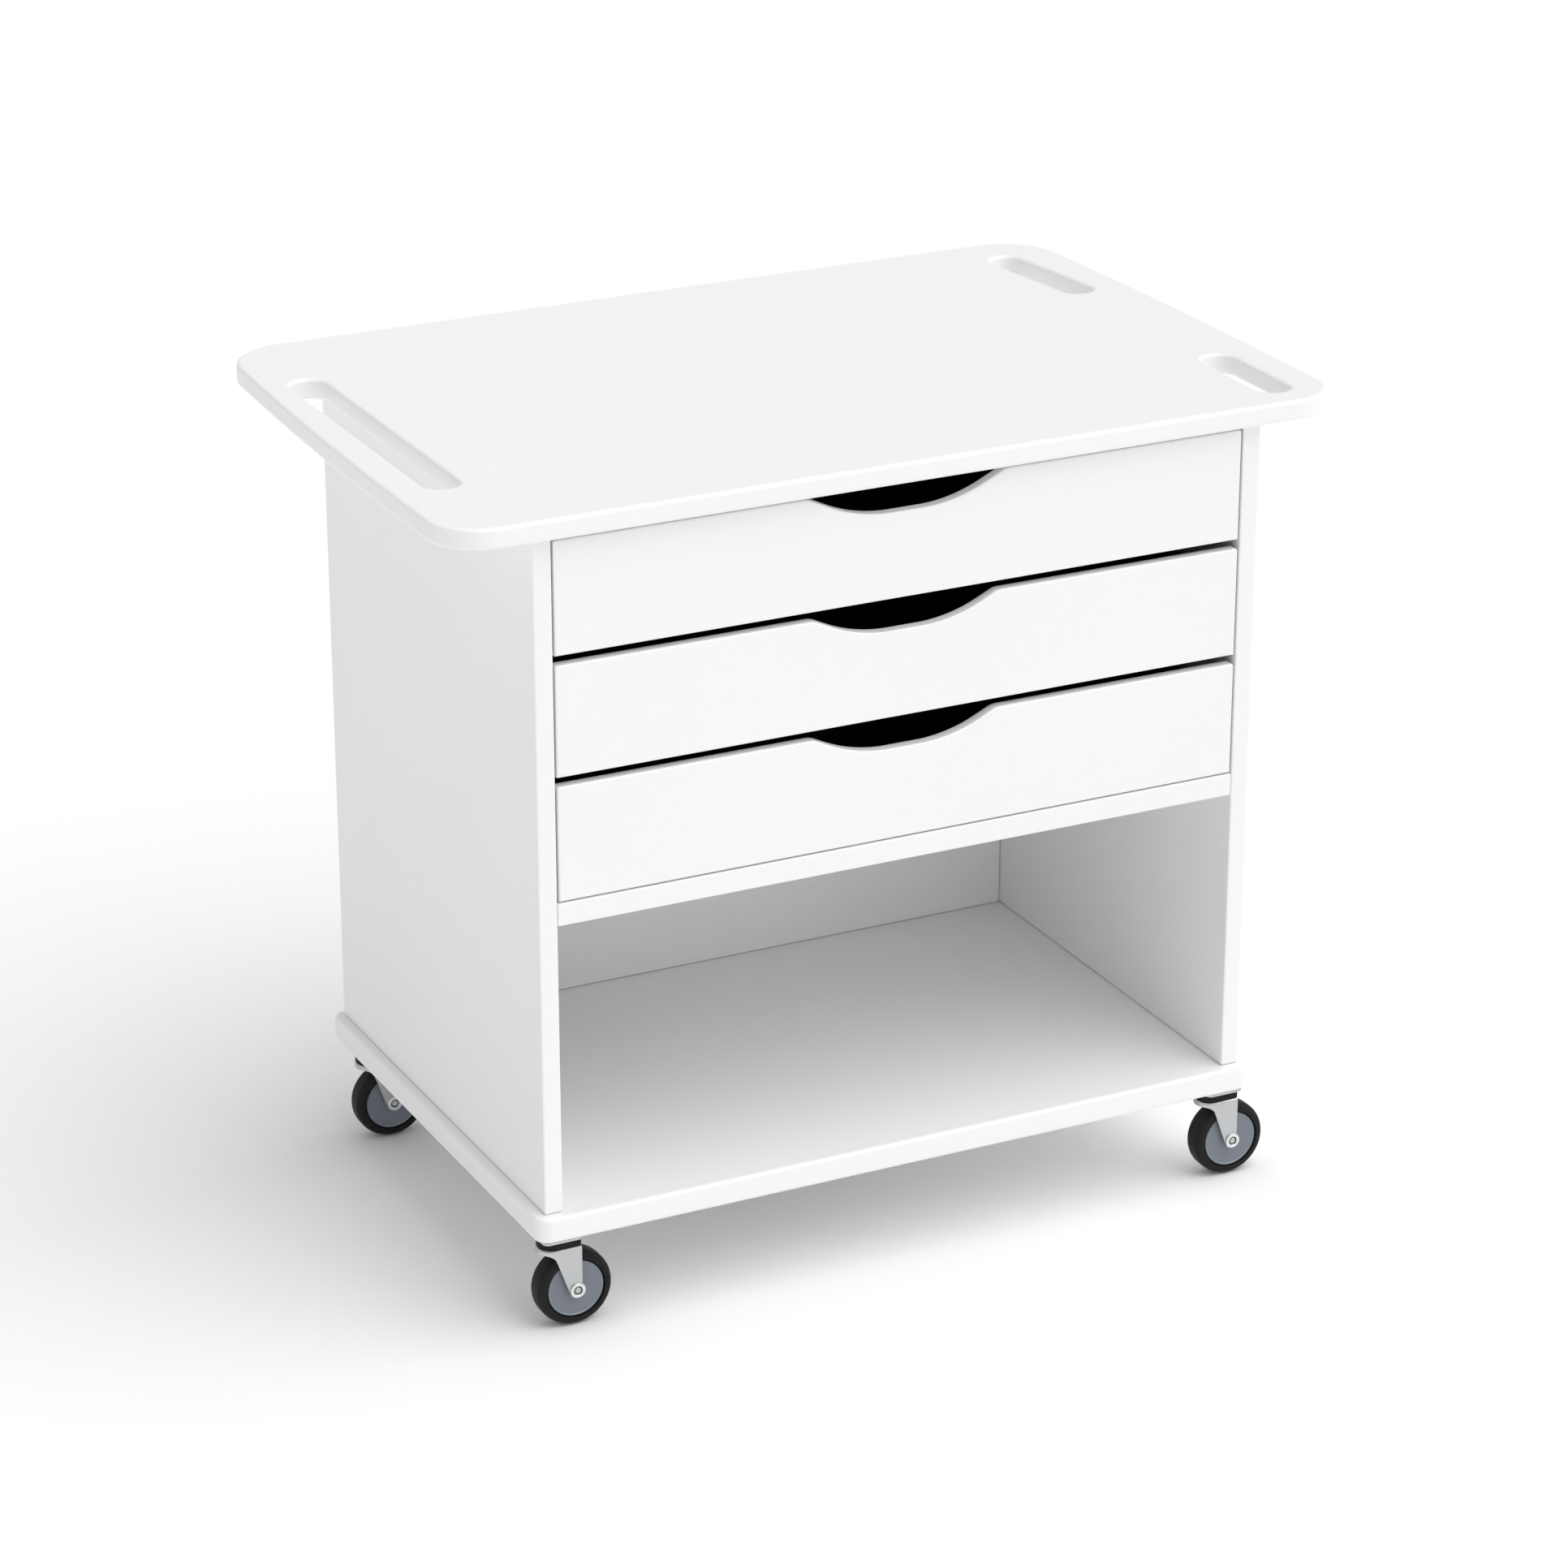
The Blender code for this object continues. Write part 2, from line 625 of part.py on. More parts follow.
def fork_mesh():
    """A pressed sheet cup, trimmed to the leg outline and pierced for its kingpin and axle."""
    outer = FORK_OUTER_HALF
    length = CASTER_TRAIL + FORK_FOOT_RADIUS + 2 * FORK_SHEET
    plan = [(length, -outer), (length, outer)]
    plan += arc((0.0, 0.0), outer, math.pi / 2, 3 * math.pi / 2, FORK_BEND_STEPS)
    depth = 2 * (CROWN_TOP - AXLE_Z + FORK_FOOT_RADIUS + FORK_SHEET)
    cup = flat_mesh([plan], depth, FORK_SHEET + FORK_INNER_BEND)
    shape = bmesh.new()
    shape.from_mesh(cup)
    lower = [face for face in shape.faces if face.calc_center_median().z < -depth / 4]
    bmesh.ops.delete(shape, geom=lower, context="FACES")
    shape.to_mesh(cup)
    shape.free()
    place = Matrix.Translation((0.0, 0.0, CROWN_TOP - depth / 2))
    sheet = new_cutter("fork_sheet", cup, place)
    solidify = sheet.modifiers.new("sheet", "SOLIDIFY")
    solidify.thickness = FORK_SHEET
    solidify.offset = -1.0
    solidify.use_even_offset = True
    upright = Matrix.Rotation(math.pi / 2, 4, "X")
    profile = new_cutter("fork_outline", flat_mesh([fork_outline()], 3 * outer), upright)
    boolean(sheet, profile, "INTERSECT")
    bore = circle((CASTER_TRAIL, AXLE_Z), HUB_BORE_RADIUS, AXLE_STEPS)
    axle_hole = new_cutter("axle_hole", flat_mesh([bore], 3 * outer), upright)
    boolean(sheet, axle_hole, "DIFFERENCE")
    eye = circle((0.0, 0.0), KINGPIN_RADIUS + RUNNING_GAP, KINGPIN_STEPS)
    pin_hole = new_cutter(
        "kingpin_hole", flat_mesh([eye], 4 * FORK_SHEET), Matrix.Translation((0.0, 0.0, CROWN_TOP))
    )
    boolean(sheet, pin_hole, "DIFFERENCE")
    mesh = evaluated_mesh(sheet)
    mesh.transform(place)
    return mesh


def plate_mesh():
    """A mounting plate with four screw holes, its swivel head and the riveted kingpin."""
    hole_x = PLATE_WIDTH / 2 - PLATE_HOLE_EDGE
    hole_y = PLATE_DEPTH / 2 - PLATE_HOLE_EDGE
    outlines = [
        rounded_rectangle(PLATE_WIDTH, PLATE_DEPTH, PLATE_CORNER_RADIUS, PLATE_CORNER_STEPS)
    ]
    for side_x in (-1, 1):
        for side_y in (-1, 1):
            centre = (side_x * hole_x, side_y * hole_y)
            outlines.append(circle(centre, PLATE_HOLE_RADIUS, PLATE_HOLE_STEPS))
    middle = (PLATE_BOTTOM + PLATE_TOP) / 2
    place = Matrix.Translation((0.0, 0.0, middle))
    plate = new_cutter("plate_blank", flat_mesh(outlines, PLATE_THICKNESS), place)
    pin_foot = CROWN_BOTTOM - RUNNING_GAP
    profile = [
        (0.0, middle),
        (SWIVEL_RADIUS, middle),
        (SWIVEL_RADIUS, SWIVEL_BOTTOM),
        (KINGPIN_RADIUS, SWIVEL_BOTTOM),
        (KINGPIN_RADIUS, pin_foot),
        (KINGPIN_HEAD_RADIUS, pin_foot),
        (KINGPIN_HEAD_RADIUS, pin_foot - KINGPIN_HEAD_HEIGHT / 2),
        (KINGPIN_RADIUS, pin_foot - KINGPIN_HEAD_HEIGHT),
        (0.0, pin_foot - KINGPIN_HEAD_HEIGHT),
    ]
    head = turned("swivel_head", profile, HUB_STEPS, False, cutter=True)
    boolean(plate, head, "UNION")
    mesh = evaluated_mesh(plate)
    mesh.transform(place)
    return mesh


def make_caster(name, x, y, plate, fork):
    """One caster: its plate stays with the cabinet, its fork swivels and its wheel turns."""
    floor_place = Matrix.Translation((x, y, 0.0))
    item = new_object(f"caster_{name}_plate", plate, ZINC_STEEL, place=floor_place)
    shade_round(item)
    swivel = new_pivot(f"swivel_{name}", (x, y, CROWN_TOP))
    item = new_object(f"caster_{name}_fork", fork, ZINC_STEEL, swivel, floor_place)
    shade_round(item)
    wheel = new_pivot(f"wheel_{name}", (x + CASTER_TRAIL, y, AXLE_Z), swivel)
    across = Matrix.Translation((x + CASTER_TRAIL, y, AXLE_Z)) @ Matrix.Rotation(math.pi / 2, 4, "X")
    flat_down = across @ Matrix.Rotation(math.pi / TYRE_STEPS, 4, "Z")
    turned(f"caster_{name}_axle", axle_profile(), AXLE_STEPS, False, ZINC_STEEL, swivel, across)
    turned(f"caster_{name}_hub", hub_profile(), HUB_STEPS, True, GREY_PLASTIC, wheel, across)
    turned(f"caster_{name}_tyre", tyre_profile(), TYRE_STEPS, True, BLACK_RUBBER, wheel, flat_down)


def make_casters():
    plate = plate_mesh()
    fork = fork_mesh()
    reach_x = BODY_WIDTH / 2 + BASE_LIP - CASTER_SETBACK_X
    front_y = BODY_FRONT - BASE_LIP + CASTER_SETBACK_Y
    rear_y = BODY_BACK + BASE_LIP - CASTER_SETBACK_Y
    for end, y in (("front", front_y), ("rear", rear_y)):
        for side, x in (("left", -reach_x), ("right", reach_x)):
            make_caster(f"{end}_{side}", x, y, plate, fork)


def make_drawers():
    level_z = TOP_BOTTOM - FRONT_TOP_REVEAL
    for level, height in FRONT_HEIGHTS.items():
        level_z -= height
        make_drawer(level, level_z)
        level_z -= FRONT_GAP


make_tabletop()
make_base_panel()
make_carcass()
make_drawers()
make_casters()
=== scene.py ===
"""Looks for the rolling tool chest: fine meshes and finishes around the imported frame.

Metres, +Z up, front towards -Y. Every piece rides on the body that carries its solid.
"""

import math

import bmesh
import bpy
from mathutils import Matrix, Vector


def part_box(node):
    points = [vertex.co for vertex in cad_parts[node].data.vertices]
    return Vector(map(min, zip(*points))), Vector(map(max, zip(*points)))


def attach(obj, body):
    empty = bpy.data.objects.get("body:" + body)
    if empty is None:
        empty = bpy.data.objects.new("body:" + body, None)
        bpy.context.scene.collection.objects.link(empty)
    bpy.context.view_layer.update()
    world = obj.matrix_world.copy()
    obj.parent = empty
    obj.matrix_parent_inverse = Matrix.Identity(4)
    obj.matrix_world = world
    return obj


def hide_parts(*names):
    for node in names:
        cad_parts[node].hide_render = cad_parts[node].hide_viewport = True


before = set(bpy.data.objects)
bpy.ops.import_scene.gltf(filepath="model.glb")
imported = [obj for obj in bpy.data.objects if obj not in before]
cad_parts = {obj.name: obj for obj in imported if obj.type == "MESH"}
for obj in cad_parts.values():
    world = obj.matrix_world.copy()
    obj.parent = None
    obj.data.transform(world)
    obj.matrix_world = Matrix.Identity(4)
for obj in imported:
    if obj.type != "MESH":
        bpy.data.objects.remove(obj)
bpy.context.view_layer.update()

bl_info = {
    "name": "Rolling Tool Chest Looks",
    "version": (1, 0, 0),
    "blender": (4, 5, 0),
    "location": "3D View > Sidebar > Tool Chest",
    "description": "Builds the fine pieces, finishes and stage of a rolling tool chest",
    "category": "Object",
}

LEVELS = ("upper", "middle", "lower")
SIDES = (("left", -1), ("right", 1))
CORNERS = ("front_left", "front_right", "rear_left", "rear_right")
WELD = 0.00001
RING_STEPS = 96
SMALL_STEPS = 40

# Each look pairs a finish with the name of a slot in the record.
WHITE = ("white_lacquer", "white_board")
# Painted shade: the drawer boxes are black so the closed drawers look dark inside.
SHADE_BLACK = ("painted_shade_black", "dark_board")
ZINC = ("zinc_plate", "zinc_steel")
BRIGHT_ZINC = ("bright_zinc", "zinc_steel")
# Zinc darkened to paint the shade in the wells round the axle rivets.
SHADED_WELL_STEEL = ("painted_shade_steel", "zinc_steel")
RAIL_ZINC = ("rail_zinc", "zinc_steel")
PLASTIC = ("hub_plastic", "grey_plastic")
RUBBER = ("tyre_rubber", "black_rubber")

# The axes that a mesh's flat faces lie square to.
EVERY_AXIS = (0, 1, 2)
Z_AXIS = (2,)

# How square to its axis a face still counts as flat, and how far on its edge is full.
FLAT_LIMIT = 0.985
EDGE_REACH = 0.2

BALLS_IN_ROW = 18

# Spaces that keep the parts of a caster from touching, and the easing of its plate.
AXLE_SPACE = 0.0003
SEAL_SPACE = 0.0002
HEAD_SPACE = 0.0006
PLATE_EASE = 0.0004


# ---------------------------------------------------------------- finishes


class Field:
    """A value over a surface, held by a shader socket, that plain arithmetic works on."""

    def __init__(self, finish, socket):
        self.finish = finish
        self.socket = socket

    def __add__(self, other):
        return self.finish.maths("ADD", self, other)

    def __radd__(self, other):
        return self.finish.maths("ADD", other, self)

    def __sub__(self, other):
        return self.finish.maths("SUBTRACT", self, other)

    def __rsub__(self, other):
        return self.finish.maths("SUBTRACT", other, self)

    def __mul__(self, other):
        return self.finish.maths("MULTIPLY", self, other)

    def __rmul__(self, other):
        return self.finish.maths("MULTIPLY", other, self)


class Finish:
    """A material, built node by node around its Principled shader."""

    def __init__(self, name):
        self.material = bpy.data.materials.new(name)
        self.material.use_nodes = True
        self.tree = self.material.node_tree
        self.shader = self.tree.nodes["Principled BSDF"]
        self.place = self.node("ShaderNodeTexCoord", output="Object")

    def node(self, kind, settings=None, inputs=None, output=0):
        """A node's output; its settings come first, then the values or links of its sockets."""
        made = self.tree.nodes.new(kind)
        for key, value in (settings or {}).items():
            if key == "stops":
                self.set_stops(made.color_ramp, value)
            else:
                setattr(made, key, value)
        pairs = inputs.items() if isinstance(inputs, dict) else enumerate(inputs or ())
        for key, value in pairs:
            self.connect(made.inputs[key], value)
        return Field(self, made.outputs[output])

    def set_stops(self, ramp, stops):
        while len(ramp.elements) < len(stops):
            ramp.elements.new(1.0)
        for element, (position, shade) in zip(ramp.elements, stops):
            element.position = position
            element.color = (shade, shade, shade, 1.0)

    def connect(self, socket, value):
        if isinstance(value, Field):
            self.tree.links.new(value.socket, socket)
        else:
            socket.default_value = value

    def maths(self, operation, *values):
        return self.node("ShaderNodeMath", {"operation": operation}, values)

    def noise(self, scale, detail=2.0, roughness=0.5, stretch=(1.0, 1.0, 1.0)):
        """Noise from 0 to 1, with about scale features to a metre along each axis times stretch."""
        place = self.node(
            "ShaderNodeVectorMath", {"operation": "MULTIPLY"}, (self.place, stretch)
        )
        inputs = {"Vector": place, "Scale": scale, "Detail": detail, "Roughness": roughness}
        return self.node("ShaderNodeTexNoise", {}, inputs)

    def ramp(self, value, *stops):
        return self.node("ShaderNodeValToRGB", {"stops": stops}, (value,))

    def edge(self):
        """1 on the rounded edges, 0 on the faces between them, as mark_edges wrote it."""
        return self.node("ShaderNodeAttribute", {"attribute_name": "edge"}, output="Fac")

    def mix(self, factor, first, second):
        inputs = {0: factor, 6: self.colour(first), 7: self.colour(second)}
        return self.node("ShaderNodeMix", {"data_type": "RGBA"}, inputs, output=2)

    def colour(self, value):
        return value if isinstance(value, Field) else (*value, 1.0)

    def bump(self, height, distance, normal=None):
        inputs = {"Height": height, "Distance": distance}
        if normal:
            inputs["Normal"] = normal
        return self.node("ShaderNodeBump", {}, inputs)

    def use(self, **sockets):
        """Feeds the shader; a socket's name is written with _ in place of its spaces."""
        for name, value in sockets.items():
            self.connect(self.shader.inputs[name.replace("_", " ")], value)
        return self.material


def scaled(colour, factor):
    return tuple(channel * factor for channel in colour)


def make_lacquer(name, colour):
    """Satin white lacquer over board: broad tone drift, a fine stipple and a painted highlight that
    lightens the rounded edges.
    """
    finish = Finish(name)
    drift = finish.noise(4.0, 3.0)
    stipple = finish.noise(900.0, 2.0, 0.6)
    orange_peel = finish.noise(190.0, 1.0)
    rubbing_and_highlight = finish.noise(11.0, 5.0, 0.65)
    tone = finish.mix(drift, scaled(colour, 0.985), scaled(colour, 1.01))
    edge = finish.edge()
    # Painted highlight: the rounded edges are lightened, more where the rubbing noise is high.
    tone = finish.mix(edge * (0.4 + 0.6 * rubbing_and_highlight), tone, scaled(colour, 1.05))
    fine = finish.bump(stipple, 0.00003)
    normal = finish.bump(orange_peel, 0.0001, fine)
    rough = 0.34 + 0.12 * rubbing_and_highlight - 0.1 * edge
    return finish.use(Base_Color=tone, Roughness=rough, Normal=normal)


def make_painted_shade_black(name, colour):
    """Black board face whose black paints the shade inside the closed drawers: a pearl grain, faint scuffs
    and paler worn edges.
    """
    finish = Finish(name)
    grain = finish.noise(1400.0, 2.0, 0.7)
    scuff = finish.noise(26.0, 6.0, 0.7)
    worn = finish.ramp(scuff, (0.55, 0.0), (0.8, 1.0))
    edge = finish.edge()
    tone = finish.mix(worn * 0.35 + edge * 0.4, colour, scaled(colour, 2.4))
    rough = 0.5 + 0.2 * scuff
    normal = finish.bump(grain, 0.00005)
    return finish.use(Base_Color=tone, Roughness=rough, Normal=normal)


def make_zinc(name, colour, stretch=(1.0, 1.0, 1.0)):
    """Bright zinc plate on pressed steel: fine draw marks, cloudy passivation and a painted highlight that
    brightens the rounded edges.
    """
    finish = Finish(name)
    cloud = finish.noise(38.0, 4.0, 0.6)
    marks = finish.noise(900.0, 2.0, 0.5, stretch)
    edge = finish.edge()
    tone = finish.mix(cloud, scaled(colour, 0.9), scaled(colour, 1.06))
    # Painted highlight: the rounded edges are brightened.
    tone = finish.mix(edge * 0.5, tone, scaled(colour, 1.18))
    rough = 0.26 + 0.14 * cloud + 0.08 * marks
    normal = finish.bump(marks, 0.00002)
    return finish.use(Base_Color=tone, Roughness=rough, Metallic=1.0, Normal=normal)


def make_plastic(name, colour):
    """Moulded hub plastic: spark-eroded texture, with a painted highlight that lightens the rounded rim and
    boss edges.
    """
    finish = Finish(name)
    texture = finish.noise(1800.0, 2.0, 0.6)
    cloud = finish.noise(60.0, 4.0)
    edge = finish.edge()
    tone = finish.mix(cloud, scaled(colour, 0.93), scaled(colour, 1.07))
    # Painted highlight: the rounded edges are lightened.
    tone = finish.mix(edge * 0.9, tone, scaled(colour, 2.3))
    rough = 0.38 + 0.16 * texture
    normal = finish.bump(texture, 0.00004)
    return finish.use(Base_Color=tone, Roughness=rough, Normal=normal)


def make_rubber(name, colour):
    """Tyre rubber: a dusty, scrubbed tread over a smoother wall."""
    finish = Finish(name)
    grain = finish.noise(2200.0, 2.0, 0.7)
    dust = finish.noise(120.0, 5.0, 0.7)
    tread = finish.edge()
    tone = finish.mix(tread * (0.45 + 0.55 * dust), colour, scaled(colour, 2.6))
    rough = 0.5 + 0.22 * tread + 0.1 * dust
    normal = finish.bump(grain, 0.00005)
    return finish.use(
        Base_Color=tone, Roughness=rough, Normal=normal, Specular_IOR_Level=0.22
    )


def make_floor(name, colour):
    """A plain painted floor with a faint unevenness."""
    finish = Finish(name)
    drift = finish.noise(0.6, 3.0)
    tone = finish.mix(drift, scaled(colour, 0.99), colour)
    return finish.use(Base_Color=tone, Roughness=0.85)


def finish_of(kind):
    """The shared material of a kind, made from the panel's colours the first time."""
    if kind in bpy.data.materials:
        return bpy.data.materials[kind]
    colours = bpy.context.scene.tool_chest_colours
    makers = {
        "white_lacquer": lambda: make_lacquer(kind, tuple(colours.lacquer)),
        "painted_shade_black": lambda: make_painted_shade_black(kind, tuple(colours.shade_black)),
        "zinc_plate": lambda: make_zinc(kind, tuple(colours.zinc)),
        "bright_zinc": lambda: make_zinc(kind, scaled(tuple(colours.zinc), 1.45)),
        # Painted shade: a darkened copy of the zinc for the floors of the rivet wells.
        "painted_shade_steel": lambda: make_zinc(kind, scaled(tuple(colours.zinc), 0.12)),
        "rail_zinc": lambda: make_zinc(kind, tuple(colours.zinc), (1.0, 0.03, 1.0)),
        "hub_plastic": lambda: make_plastic(kind, tuple(colours.hub)),
        "tyre_rubber": lambda: make_rubber(kind, tuple(colours.rubber)),
        "floor_paint": lambda: make_floor(kind, tuple(colours.floor)),
    }
    return makers[kind]()


# ---------------------------------------------------------------- meshes


def arc(centre, radius, start, end, steps):
    """Points of an arc, its ends included; angles in radians from +X, counter-clockwise."""
    points = []
    for step in range(steps + 1):
        angle = start + (end - start) * step / steps
        points.append((centre[0] + radius * math.cos(angle), centre[1] + radius * math.sin(angle)))
    return points


def circle(centre, radius, steps):
    return arc(centre, radius, 0.0, 2 * math.pi, steps)[:-1]


def rounded_rectangle(low, high, radius, steps):
    outline = []
    corners = ((high[0], high[1]), (low[0], high[1]), (low[0], low[1]), (high[0], low[1]))
    inward = ((-1, -1), (1, -1), (1, 1), (-1, 1))
    for quarter, (corner, side) in enumerate(zip(corners, inward)):
        centre = (corner[0] + side[0] * radius, corner[1] + side[1] * radius)
        start = quarter * math.pi / 2
        outline += arc(centre, radius, start, start + math.pi / 2, steps)
    return outline


def linked(name, data):
    """A new object of the scene that holds the data."""
    item = bpy.data.objects.new(name, data)
    bpy.context.scene.collection.objects.link(item)
    return item


def mesh_of(shape, name):
    """A new mesh that takes over the shape."""
    mesh = bpy.data.meshes.new(name)
    shape.to_mesh(mesh)
    shape.free()
    return mesh


def worked_out(item):
    """The item's mesh with its curve or modifiers applied, welded and facing outwards."""
    bpy.context.view_layer.update()
    graph = bpy.context.evaluated_depsgraph_get()
    mesh = bpy.data.meshes.new_from_object(item.evaluated_get(graph))
    shape = bmesh.new()
    shape.from_mesh(mesh)
    bmesh.ops.remove_doubles(shape, verts=shape.verts, dist=WELD)
    bmesh.ops.recalc_face_normals(shape, faces=shape.faces)
    shape.to_mesh(mesh)
    shape.free()
    bpy.data.objects.remove(item)
    return mesh


def slab(outlines, thickness, radius, steps):
    """A flat solid centred on z = 0; the first outline is its edge, the rest its holes."""
    curve = bpy.data.curves.new("outline", "CURVE")
    curve.dimensions = "2D"
    curve.fill_mode = "BOTH"
    curve.extrude = thickness / 2 - radius
    curve.bevel_depth = radius
    curve.bevel_resolution = steps
    curve.offset = -radius
    for outline in outlines:
        spline = curve.splines.new("POLY")
        spline.points.add(len(outline) - 1)
        for point, (x, y) in zip(spline.points, outline):
            point.co = (x, y, 0.0, 1.0)
        spline.use_cyclic_u = True
    return worked_out(linked("outline", curve))


def box_mesh(low, high, radius, segments=4):
    """A board between two corners with rounded edges."""
    low, high = Vector(low), Vector(high)
    shape = bmesh.new()
    place = Matrix.Translation((low + high) / 2) @ Matrix.Diagonal((*(high - low), 1.0))
    bmesh.ops.create_cube(shape, size=1.0, matrix=place)
    rounding = {"offset": radius, "segments": segments, "profile": 0.5, "affect": "EDGES"}
    bmesh.ops.bevel(shape, geom=shape.edges[:], **rounding)
    return mesh_of(shape, "board")


def turned(profile, steps, closed=False):
    """A profile of (radius, height) points turned about Z; an open one starts and ends on Z."""
    rings = []
    points = []
    faces = []
    for radius, height in profile:
        if radius < WELD:
            rings.append([len(points)])
            points.append((0.0, 0.0, height))
            continue
        rings.append(list(range(len(points), len(points) + steps)))
        for step in range(steps):
            angle = 2 * math.pi * step / steps
            points.append((radius * math.cos(angle), radius * math.sin(angle), height))
    pairs = list(zip(rings, rings[1:]))
    if closed:
        pairs.append((rings[-1], rings[0]))
    for first, second in pairs:
        for step in range(steps):
            after = (step + 1) % steps
            corners = [
                first[step % len(first)],
                first[after % len(first)],
                second[after % len(second)],
                second[step % len(second)],
            ]
            corners = list(dict.fromkeys(corners))
            if len(corners) > 2:
                faces.append(corners)
    mesh = bpy.data.meshes.new("turned")
    mesh.from_pydata(points, [], faces)
    shape = bmesh.new()
    shape.from_mesh(mesh)
    bmesh.ops.recalc_face_normals(shape, faces=shape.faces)
    shape.to_mesh(mesh)
    shape.free()
    return mesh


def mark_edges(mesh, axes):
    """Writes the edge attribute: 0 where the surface is square to an axis or along a flat, 1 between."""
    values = []
    for vertex in mesh.vertices:
        normal = vertex.normal
        if len(axes) == 1:
            along = abs(normal[axes[0]])
            flatness = max(along, math.sqrt(max(0.0, 1.0 - along * along)))
        else:
            flatness = max(abs(normal[axis]) for axis in axes)
        values.append(min(1.0, max(0.0, (FLAT_LIMIT - flatness) / EDGE_REACH)))
    attribute = mesh.attributes.new("edge", "FLOAT", "POINT")
    attribute.data.foreach_set("value", values)


def new_piece(name, mesh, axes, body, look, replaced=(), place=None):
    """A shown piece that rides on a body and stands for the solids it replaces."""
    finish, slot = look
    mark_edges(mesh, axes)
    mesh.name = name
    if place:
        mesh.transform(place)
    mesh.materials.clear()
    mesh.materials.append(finish_of(finish))
    mesh.shade_smooth()
    mesh.set_sharp_from_angle(angle=math.radians(40))
    item = linked(name, mesh)
    normals = item.modifiers.new("flat_faces", "WEIGHTED_NORMAL")
    normals.keep_sharp = True
    normals.weight = 100
    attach(item, body)
    if replaced:
        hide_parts(*replaced)
    return item


def upright(x=0.0, y=0.0, z=0.0):
    """Stands a flat drawing up: its Y goes to +Z and its face towards -Y."""
    return Matrix.Translation((x, y, z)) @ Matrix.Rotation(math.pi / 2, 4, "X")


# ---------------------------------------------------------------- settings


def setting(name, description, default, **kind):
    """A number of the panel, or three of them when its default holds three."""
    several = isinstance(default, tuple)
    number = bpy.props.FloatVectorProperty if several else bpy.props.FloatProperty
    return number(name=name, description=description, default=default, **kind)


def in_metres(name, description, default):
    return setting(name, description, default, unit="LENGTH")


def in_radians(name, description, default):
    return setting(name, description, default, subtype="ANGLE")


def as_colour(name, description, default):
    return setting(name, description, default, subtype="COLOR", min=0.0, max=1.0)


class ToolChestSizes(bpy.types.PropertyGroup):
    """Sizes of the fine work on the boards and runners."""

    top_edge: in_metres(
        "Top edge radius", "Radius that eases the top board's edges and its hand slots", 0.004
    )
    top_front_corner: in_metres("Top front corner", "Plan radius of the top board's front corners", 0.050)
    top_rear_corner: in_metres("Top rear corner", "Plan radius of the top board's rear corners", 0.060)
    top_bow_start: in_metres(
        "Bow start", "Where along Y the top board's sides start to bow inwards", -0.170
    )
    top_bow: in_metres("Bow radius", "Plan radius of the bow in the top board's sides", 7.0)
    slot_width: in_metres("Hand slot width", "Width of each hand slot", 0.034)
    left_slot: in_metres(
        "Left hand slot", "Rim beside the left slot, its middle along Y and its length", (0.033, 0.0, 0.348)
    )
    rear_slot: in_metres(
        "Right rear hand slot",
        "Rim beside the right rear slot, its setback from the rear edge and its length",
        (0.048, 0.046, 0.149),
    )
    front_slot: in_metres(
        "Right front hand slot",
        "Rim beside the right front slot, its setback from the front edge and its length",
        (0.0355, 0.030, 0.127),
    )
    rear_slot_tilt: in_radians(
        "Right rear slot tilt", "Turn of the right rear slot about its middle", math.radians(7)
    )
    base_edge: in_metres("Base edge radius", "Radius that eases the base board's edges", 0.004)
    base_corner: in_metres("Base corner", "Plan radius of the base board's corners", 0.014)
    board_edge: in_metres("Board edge radius", "Radius that eases the side boards and the shelf", 0.0018)
    box_edge: in_metres("Box edge radius", "Radius that eases the boards of the drawer boxes", 0.0008)
    front_edge: in_metres(
        "Drawer front edge radius", "Radius that eases the drawer fronts and their scoops", 0.0018
    )
    front_corner: in_metres("Drawer front corner", "Radius of a drawer front's upper corners", 0.0025)
    scoop_depths: in_metres(
        "Scoop depths",
        "How far the upper, middle and lower scoops dip below their fronts' upper edges",
        (0.0245, 0.0215, 0.0215),
    )
    scoop_flat: in_metres("Scoop flat", "Width of the level floor of the scoop", 0.030)
    scoop_bowl: in_metres("Scoop bowl radius", "Radius of the scoop's curve beside its level floor", 0.145)
    scoop_slope: in_radians("Scoop slope", "Slope of the scoop's straight sides", math.radians(25.5))
    scoop_fillet: in_metres(
        "Scoop fillet", "Radius where the scoop runs out into the front's upper edge", 0.020
    )
    rail_sheet: in_metres("Rail sheet", "Sheet thickness of the runner members", 0.0012)
    rail_lip: in_metres("Rail lip", "Height of the cabinet member's turned-in lips", 0.0034)
    ball_gap: in_metres("Ball gap", "Space that the balls fill between two runner members", 0.0033)
    ball_radius: in_metres("Ball radius", "Radius of the balls in the runners", 0.0016)


